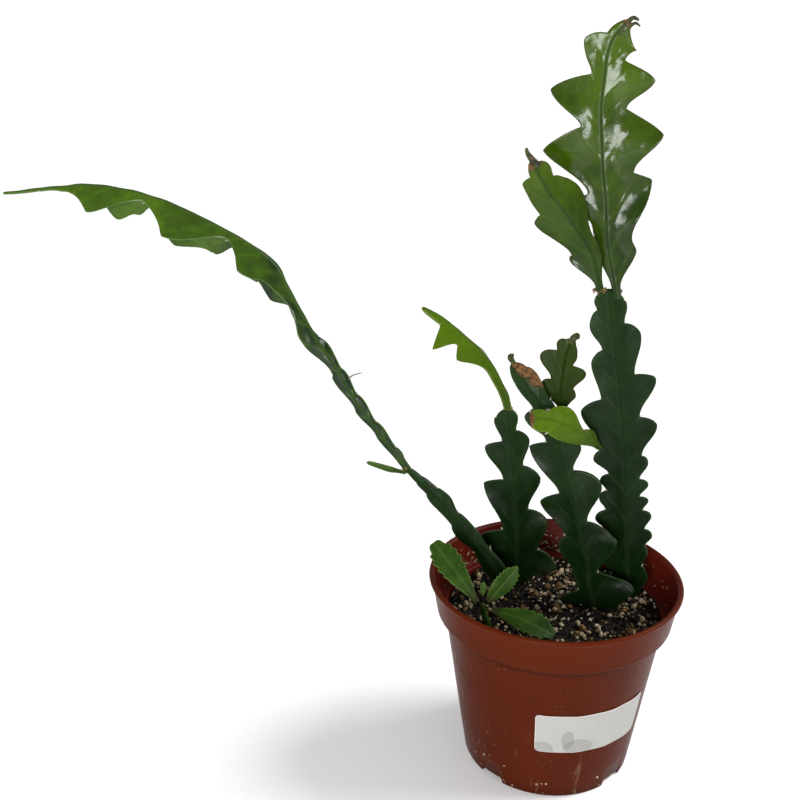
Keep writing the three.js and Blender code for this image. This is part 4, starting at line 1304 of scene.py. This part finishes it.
class StemSettings(bpy.types.PropertyGroup):
    old_deep: bpy.props.FloatVectorProperty(
        name="Old Skin", description="Deep colour of the oldest stems",
        subtype="COLOR", default=(0.0025, 0.0088, 0.0016), min=0, max=1,
    )
    old_fresh: bpy.props.FloatVectorProperty(
        name="Old Skin Light", description="Light colour of the oldest stems",
        subtype="COLOR", default=(0.0095, 0.0250, 0.0050), min=0, max=1,
    )
    young_deep: bpy.props.FloatVectorProperty(
        name="Young Skin", description="Deep colour of the young stems",
        subtype="COLOR", default=(0.0105, 0.0245, 0.0020), min=0, max=1,
    )
    young_fresh: bpy.props.FloatVectorProperty(
        name="Young Skin Light", description="Light colour of the young stems",
        subtype="COLOR", default=(0.041, 0.076, 0.0008), min=0, max=1,
    )
    stations: bpy.props.IntProperty(
        name="Stations", description="Rows of faces along the longest stem",
        default=520, min=60, max=900,
    )
    across: bpy.props.IntProperty(
        name="Across", description="Columns of faces across one side of a stem",
        default=33, min=9, max=65,
    )
    bristle: bpy.props.FloatProperty(
        name="Bristle Length", description="Length of the longest bristles, in millimetres",
        default=1.7, min=0.2, max=5,
    )


class SoilSettings(bpy.types.PropertyGroup):
    peat: bpy.props.FloatVectorProperty(
        name="Peat Colour", description="Colour of the damp soil",
        subtype="COLOR", default=(0.0060, 0.0042, 0.0025), min=0, max=1,
    )
    crumble: bpy.props.FloatProperty(
        name="Crumble", description="How rough the soil's surface is", default=1.0, min=0, max=3,
    )
    perlite: bpy.props.IntProperty(
        name="Perlite Grains", description="How many pale grains lie on the soil",
        default=640, min=0, max=4000,
    )
    bark: bpy.props.IntProperty(
        name="Bark Pieces", description="How many tan bark pieces lie on the soil",
        default=300, min=0, max=4000,
    )
    crumbs: bpy.props.IntProperty(
        name="Peat Crumbs", description="How many dark crumbs lie on the soil",
        default=1500, min=0, max=6000,
    )
    grit: bpy.props.IntProperty(
        name="Wall Grit", description="How many grains are stuck to the pot",
        default=330, min=0, max=2000,
    )


class SeedlingSettings(bpy.types.PropertyGroup):
    deep: bpy.props.FloatVectorProperty(
        name="Leaf Colour", description="Deep colour of the leaves",
        subtype="COLOR", default=(0.0085, 0.0260, 0.0016), min=0, max=1,
    )
    fresh: bpy.props.FloatVectorProperty(
        name="Leaf Light", description="Light colour of the leaves",
        subtype="COLOR", default=(0.025, 0.058, 0.0045), min=0, max=1,
    )


class StageSettings(bpy.types.PropertyGroup):
    floor: bpy.props.FloatVectorProperty(
        name="Floor Colour", description="Colour of the pale floor",
        subtype="COLOR", default=(0.9, 0.9, 0.9), min=0, max=1,
    )
    key_power: bpy.props.FloatProperty(
        name="Front Light", description="Power of the panel that glints on the upper stems",
        default=16, min=0, max=200, unit="POWER",
    )
    side_power: bpy.props.FloatProperty(
        name="Side Light",
        description="Strength of the wide light on the right, which casts the shadow",
        default=3.5, min=0, max=20,
    )
    sky: bpy.props.FloatProperty(
        name="Sky", description="Strength of the soft light from above",
        default=0.45, min=0, max=5,
    )
    lens: bpy.props.FloatProperty(
        name="Lens", description="Focal length of the camera, in millimetres",
        default=43.26, min=10, max=200,
    )


# ---- operators ----


class CACTUS_OT_pot(bpy.types.Operator):
    """Build the nursery pot"""

    bl_idname = "cactus.pot"
    bl_label = "Nursery Pot"

    def execute(self, context):
        held = context.scene.cactus_pot
        points, faces = pot_mesh(held.corner)
        finish = plastic_material(tuple(held.shell), tuple(held.inside), tuple(held.dust))
        make_piece("nursery_pot", points, faces, finish, ["pot"])
        return {"FINISHED"}


class CACTUS_OT_label(bpy.types.Operator):
    """Build the blank sticker"""

    bl_idname = "cactus.label"
    bl_label = "Blank Sticker"

    def execute(self, context):
        held = context.scene.cactus_label
        points, faces, values = label_surface()
        finish = paper_material(tuple(held.paper), tuple(held.damp))
        make_piece("blank_sticker", points, faces, finish, ["pot_label"], values)
        return {"FINISHED"}


# Loose grains: the piece, its slot, its number's name in the settings, the least and greatest
# size, the least and greatest scale of each axis, and how lumpy it is.
LOOSE = (
    ("perlite_grains", "perlite_chip", "perlite", (0.35, 1.25), (0.7, 1.15), 0.22),
    ("bark_pieces", "bark_chip", "bark", (0.5, 1.9), (0.45, 1.25), 0.16),
    ("peat_crumbs", "potting_soil", "crumbs", (0.3, 1.0), (0.6, 1.2), 0.3),
)
PERLITE = ((0.26, 0.20, 0.11), (0.40, 0.34, 0.24), (0.060, 0.040, 0.020))
BARK = ((0.145, 0.080, 0.025), (0.055, 0.030, 0.012), (0.012, 0.008, 0.005))
CORK = ((0.20, 0.125, 0.05), (0.085, 0.055, 0.022), (0.028, 0.018, 0.008))
CHIP_SINK = 0.5


class CACTUS_OT_soil(bpy.types.Operator):
    """Build the soil and everything loose on it"""

    bl_idname = "cactus.soil"
    bl_label = "Soil"

    def execute(self, context):
        held = context.scene.cactus_soil
        ground = soil_material(tuple(held.peat))
        points, faces = soil_surface(held.crumble)
        make_piece("soil_body", points, faces, ground, ["soil"])
        finishes = {
            "perlite_chip": grain_material("perlite_grain", *PERLITE),
            "bark_chip": grain_material("bark_piece", *BARK),
            "potting_soil": ground,
        }
        rng = np.random.default_rng(20)
        for name, slot, number, sizes, scales, lumpy in LOOSE:
            places, size = scatter(getattr(held, number), *sizes, rng)
            flats = rng.uniform(*scales, (len(size), 3))
            points, faces, values = grains(places, size, flats, rng, lumpy)
            make_piece(name, points, faces, finishes[slot], (), values)
        places, size = grit_points(rng, held.grit)
        flats = rng.uniform(0.6, 1.1, (len(size), 3))
        points, faces, values = grains(places, size, flats, rng)
        make_piece("wall_grit", points, faces, finishes["perlite_chip"], (), values)
        self.large_chips(finishes, rng)
        return {"FINISHED"}

    def large_chips(self, finishes, rng):
        """One piece for each kind of large chip, every chip fitted to its own box."""
        kinds = {entry["node"]: entry["material_slot"] for entry in frame["record"]["subparts"]}
        chips = sorted(name for name in frame["nodes"] if name.startswith("soil_chip_"))
        for slot in ("perlite_chip", "bark_chip"):
            named = [name for name in chips if kinds[name] == slot]
            boxes = [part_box(name) for name in named]
            places = np.array([(low + high) / 2 for low, high in boxes]) / MM
            flats = np.array([(high - low) / 2 for low, high in boxes]) / MM
            places[:, 2] -= CHIP_SINK
            points, faces, values = grains(places, np.ones(len(named)), flats, rng, 0.1)
            make_piece(slot + "s_large", points, faces, finishes[slot], named, values)


# The young stems' margin, the length that gets the full number of stations, and how far a
# finished stem may be from its frame box.
MARGIN_EDGE = (0.032, 0.024, 0.006)
LONGEST_STEM = 210
MOST_OFF = 4.5


class CACTUS_OT_stems(bpy.types.Operator):
    """Build every cactus stem with its bristles, and what is dry at its joints and tips"""

    bl_idname = "cactus.stems"
    bl_label = "Stems"

    def skins(self, held):
        """The five skins, from the oldest stems' to the arching stem's."""
        old, old_light = tuple(held.old_deep), tuple(held.old_fresh)
        young, young_light = tuple(held.young_deep), tuple(held.young_fresh)
        return {
            # The old skin's pale margin colour is a painted highlight.
            "old": skin_material(
                "old_skin", old, old_light, (0.014, 0.036, 0.008), old_light,
                gloss=0.34, reach=0.7, shine=0.1, rim_width=1.6, rib_share=0.2,
            ),
            "middle": skin_material(
                "middle_skin", (0.006, 0.014, 0.0006), (0.015, 0.028, 0.0007), MARGIN_EDGE,
                (0.006, 0.014, 0.001), gloss=0.32, reach=0.3, shine=0.1,
            ),
            # The young skin's dark rib colour is painted shade along the ridge.
            "young": skin_material(
                "young_skin", young, young_light, MARGIN_EDGE, (0.006, 0.018, 0.001),
                gloss=0.17, reach=0.55, shine=0.24,
            ),
            "lime": skin_material(
                "lime_skin", (0.012, 0.020, 0.003), (0.052, 0.100, 0.002), (0.10, 0.13, 0.02),
                (0.03, 0.06, 0.002), gloss=0.3, reach=0.25, shine=0.12,
            ),
            # The arching skin's pale margin colour is a painted highlight.
            "arching": skin_material(
                "arching_skin", (0.005, 0.014, 0.003), (0.056, 0.115, 0.004), (0.065, 0.11, 0.03),
                (0.02, 0.05, 0.003), gloss=0.22, reach=0.62, shine=0.22,
            ),
        }

    def execute(self, context):
        held = context.scene.cactus_stems
        skins = self.skins(held)
        rng = np.random.default_rng(8)
        tufts = []
        for name, stem in STEMS.items():
            blade = Blade(stem)
            stations = int(held.stations * (blade.top + blade.before) / LONGEST_STEM)
            points, faces, values = blade.surface(min(max(80, stations), 900), held.across)
            skin = skins[stem["skin"]]
            make_piece(name + "_skin", points, faces, skin, [name], values)
            low, high = (np.array(corner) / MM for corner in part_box(name))
            off = max(np.abs(points.min(0) - low).max(), np.abs(points.max(0) - high).max())
            if off > MOST_OFF:
                raise ValueError(f"{name} is {off:.1f} mm off its frame box")
            for side in ("left", "right"):
                tufts += bristle_points(blade, side, rng, held.bristle)
        points, faces = cones(*zip(*tufts), BRISTLE_RADIUS)
        hair = bristle_material()
        make_piece("areole_bristles", points, faces, hair, smooth=False)
        places, size = crust_points(rng)
        flats = rng.uniform(0.6, 1.3, (len(size), 3))
        points, faces, values = grains(places, size, flats, rng)
        cork = grain_material("joint_cork", *CORK)
        make_piece("joint_crusts", points, faces, cork, (), values)
        wither = withered_material()
        for number, (name, steps, radii) in enumerate(THREADS, 1):
            points, faces, values = tube_surface(thread_line(name, steps), radii, 12, 40)
            make_piece(f"withered_tip_{number}", points, faces, wither, (), values)
        return {"FINISHED"}


class CACTUS_OT_seedling(bpy.types.Operator):
    """Build the seedling and the aerial root"""

    bl_idname = "cactus.seedling"
    bl_label = "Seedling and Root"

    def execute(self, context):
        held = context.scene.cactus_seedling
        skin = leaf_material(tuple(held.deep), tuple(held.fresh))
        for name, leaf in LEAVES.items():
            points, faces, values = leaf_surface(leaf)
            make_piece(name + "_skin", points, faces, skin, [name], values)
        points, faces, values = tube_surface(SEEDLING_STEM, SEEDLING_RADII)
        inside = np.full(len(points), 2.0)
        values.update(edge_gap=inside, rib_gap=inside)
        stalk = ["seedling_stem"]
        make_piece("seedling_stalk", points, faces, skin, stalk, values)
        points, faces, values = tube_surface(AERIAL_ROOT, AERIAL_RADII, 10, 40)
        bark = root_material()
        make_piece("aerial_root_hair", points, faces, bark, ["aerial_root"], values)
        return {"FINISHED"}


# The floor's rings, the sky's brightness at the horizon and the heights between which it fades,
# and the places, targets and sizes of the lights. The stage is in metres, but for the floor.
FLOOR_RADII = np.array([0.01, 150, 400, 1000, 2500, 6000])[:, None]
FLOOR_SIDES = 96
FLOOR_DRIFT = (0.86, 0.86, 0.86)
HORIZON_BRIGHT = 1.05
HORIZON_BAND = (0.10, 0.30)
SIDE_ANGLE = math.radians(36)
SIDE_PLACE, SIDE_TARGET = (0.9, 0.3, 0.85), (0, 0, 0.05)
FRONT_PLACE, FRONT_TARGET, FRONT_SIZE = (-0.16, -1.15, 0.34), (0, 0, 0.25), (0.50, 0.34)
CAMERA_PLACE = (0, -0.35907, 0.28149)
CAMERA_WAY = (-0.16844, 0.92988, -0.32704)
SENSOR = 36


class CACTUS_OT_stage(bpy.types.Operator):
    """Build the floor, the lights and the camera"""

    bl_idname = "cactus.stage"
    bl_label = "Stage"

    def floor(self, colour):
        """A flat disc of rings whose radii grow, just under the pot's foot."""
        turn = np.linspace(0, ROUND, FLOOR_SIDES, endpoint=False)[None]
        x, y = FLOOR_RADII * np.cos(turn), FLOOR_RADII * np.sin(turn)
        rings = np.stack([x, y, 0 * x + POT_FOOT - 0.05], -1)
        faces = grid_faces(len(FLOOR_RADII), FLOOR_SIDES, close_cols=True)
        mesh = bpy.data.meshes.new("floor")
        mesh.from_pydata((rings.reshape(-1, 3) * MM).tolist(), [], faces.tolist())
        mesh.polygons.foreach_set("use_smooth", np.ones(len(faces), bool))
        made = new_finish("pale_floor")
        drift = made.mix(made.noise(3.0, 2.0) * 0.1, colour, FLOOR_DRIFT)
        mesh.materials.append(made.surface(Base_Color=drift, Roughness=0.9))
        floor = bpy.data.objects.new("floor", mesh)
        bpy.context.scene.collection.objects.link(floor)

    def sky(self, strength):
        """A white world, bright at and under the horizon and softer above."""
        made = Finish(bpy.data.worlds.new("studio"))
        low, high = HORIZON_BAND
        height = made.axis(made.place("Generated"), "Z").between(low, high)
        level = HORIZON_BRIGHT + height * (strength - HORIZON_BRIGHT)
        inputs = {"Color": (1, 1, 1, 1), "Strength": level}
        shader = made.node("ShaderNodeBackground", {}, inputs)
        return made.end("ShaderNodeOutputWorld", shader)

    def aim(self, name, lamp, place, target):
        """Sets a light at a place, shining at its target."""
        held = bpy.data.objects.new(name, lamp)
        held.location = place
        way = Vector(target) - Vector(place)
        held.rotation_euler = way.to_track_quat("-Z", "Y").to_euler()
        bpy.context.scene.collection.objects.link(held)

    def camera(self, lens):
        """A level camera: its axes are across, up and back along its way."""
        camera = bpy.data.objects.new("camera", bpy.data.cameras.new("camera"))
        camera.data.lens = lens
        camera.data.sensor_width = SENSOR
        camera.data.clip_start, camera.data.clip_end = 0.01, 20
        look = Vector(CAMERA_WAY).normalized()
        across = look.cross(Vector((0, 0, 1))).normalized()
        turn = Matrix((across, across.cross(look), -look)).transposed()
        camera.matrix_world = Matrix.Translation(CAMERA_PLACE) @ turn.to_4x4()
        bpy.context.scene.collection.objects.link(camera)
        return camera

    def execute(self, context):
        held = context.scene.cactus_stage
        self.floor(tuple(held.floor))
        context.scene.world = self.sky(held.sky)
        side = bpy.data.lights.new("side", "SUN")
        side.energy, side.angle = held.side_power, SIDE_ANGLE
        self.aim("side", side, SIDE_PLACE, SIDE_TARGET)
        front = bpy.data.lights.new("front", "AREA")
        front.shape, front.energy = "RECTANGLE", held.key_power
        front.size, front.size_y = FRONT_SIZE
        self.aim("front", front, FRONT_PLACE, FRONT_TARGET)
        context.scene.camera = self.camera(held.lens)
        context.scene.view_settings.view_transform = "Standard"
        return {"FINISHED"}


class CACTUS_PT_panel(bpy.types.Panel):
    """Sidebar panel with every piece of the cactus"""

    bl_label = "Potted Cactus"
    bl_idname = "CACTUS_PT_panel"
    bl_space_type = "VIEW_3D"
    bl_region_type = "UI"
    bl_category = "Cactus"

    def draw(self, context):
        scene = context.scene
        for operator, held in STEPS:
            box = self.layout.box()
            for key in type(getattr(scene, held)).__annotations__:
                box.prop(getattr(scene, held), key)
            box.operator(operator.bl_idname)


STEPS = (
    (CACTUS_OT_pot, "cactus_pot"),
    (CACTUS_OT_label, "cactus_label"),
    (CACTUS_OT_soil, "cactus_soil"),
    (CACTUS_OT_stems, "cactus_stems"),
    (CACTUS_OT_seedling, "cactus_seedling"),
    (CACTUS_OT_stage, "cactus_stage"),
)
GROUPS = {
    "cactus_pot": PotSettings,
    "cactus_label": LabelSettings,
    "cactus_soil": SoilSettings,
    "cactus_stems": StemSettings,
    "cactus_seedling": SeedlingSettings,
    "cactus_stage": StageSettings,
}


def register():
    for key, group in GROUPS.items():
        bpy.utils.register_class(group)
        setattr(bpy.types.Scene, key, bpy.props.PointerProperty(type=group))
    for operator, _ in STEPS:
        bpy.utils.register_class(operator)
    bpy.utils.register_class(CACTUS_PT_panel)


def unregister():
    bpy.utils.unregister_class(CACTUS_PT_panel)
    for operator, _ in reversed(STEPS):
        bpy.utils.unregister_class(operator)
    for key, group in reversed(GROUPS.items()):
        delattr(bpy.types.Scene, key)
        bpy.utils.unregister_class(group)


def main():
    register()
    for operator, _ in STEPS:
        group, name = operator.bl_idname.split(".")
        getattr(getattr(bpy.ops, group), name)()


if __name__ == "__main__":
    main()
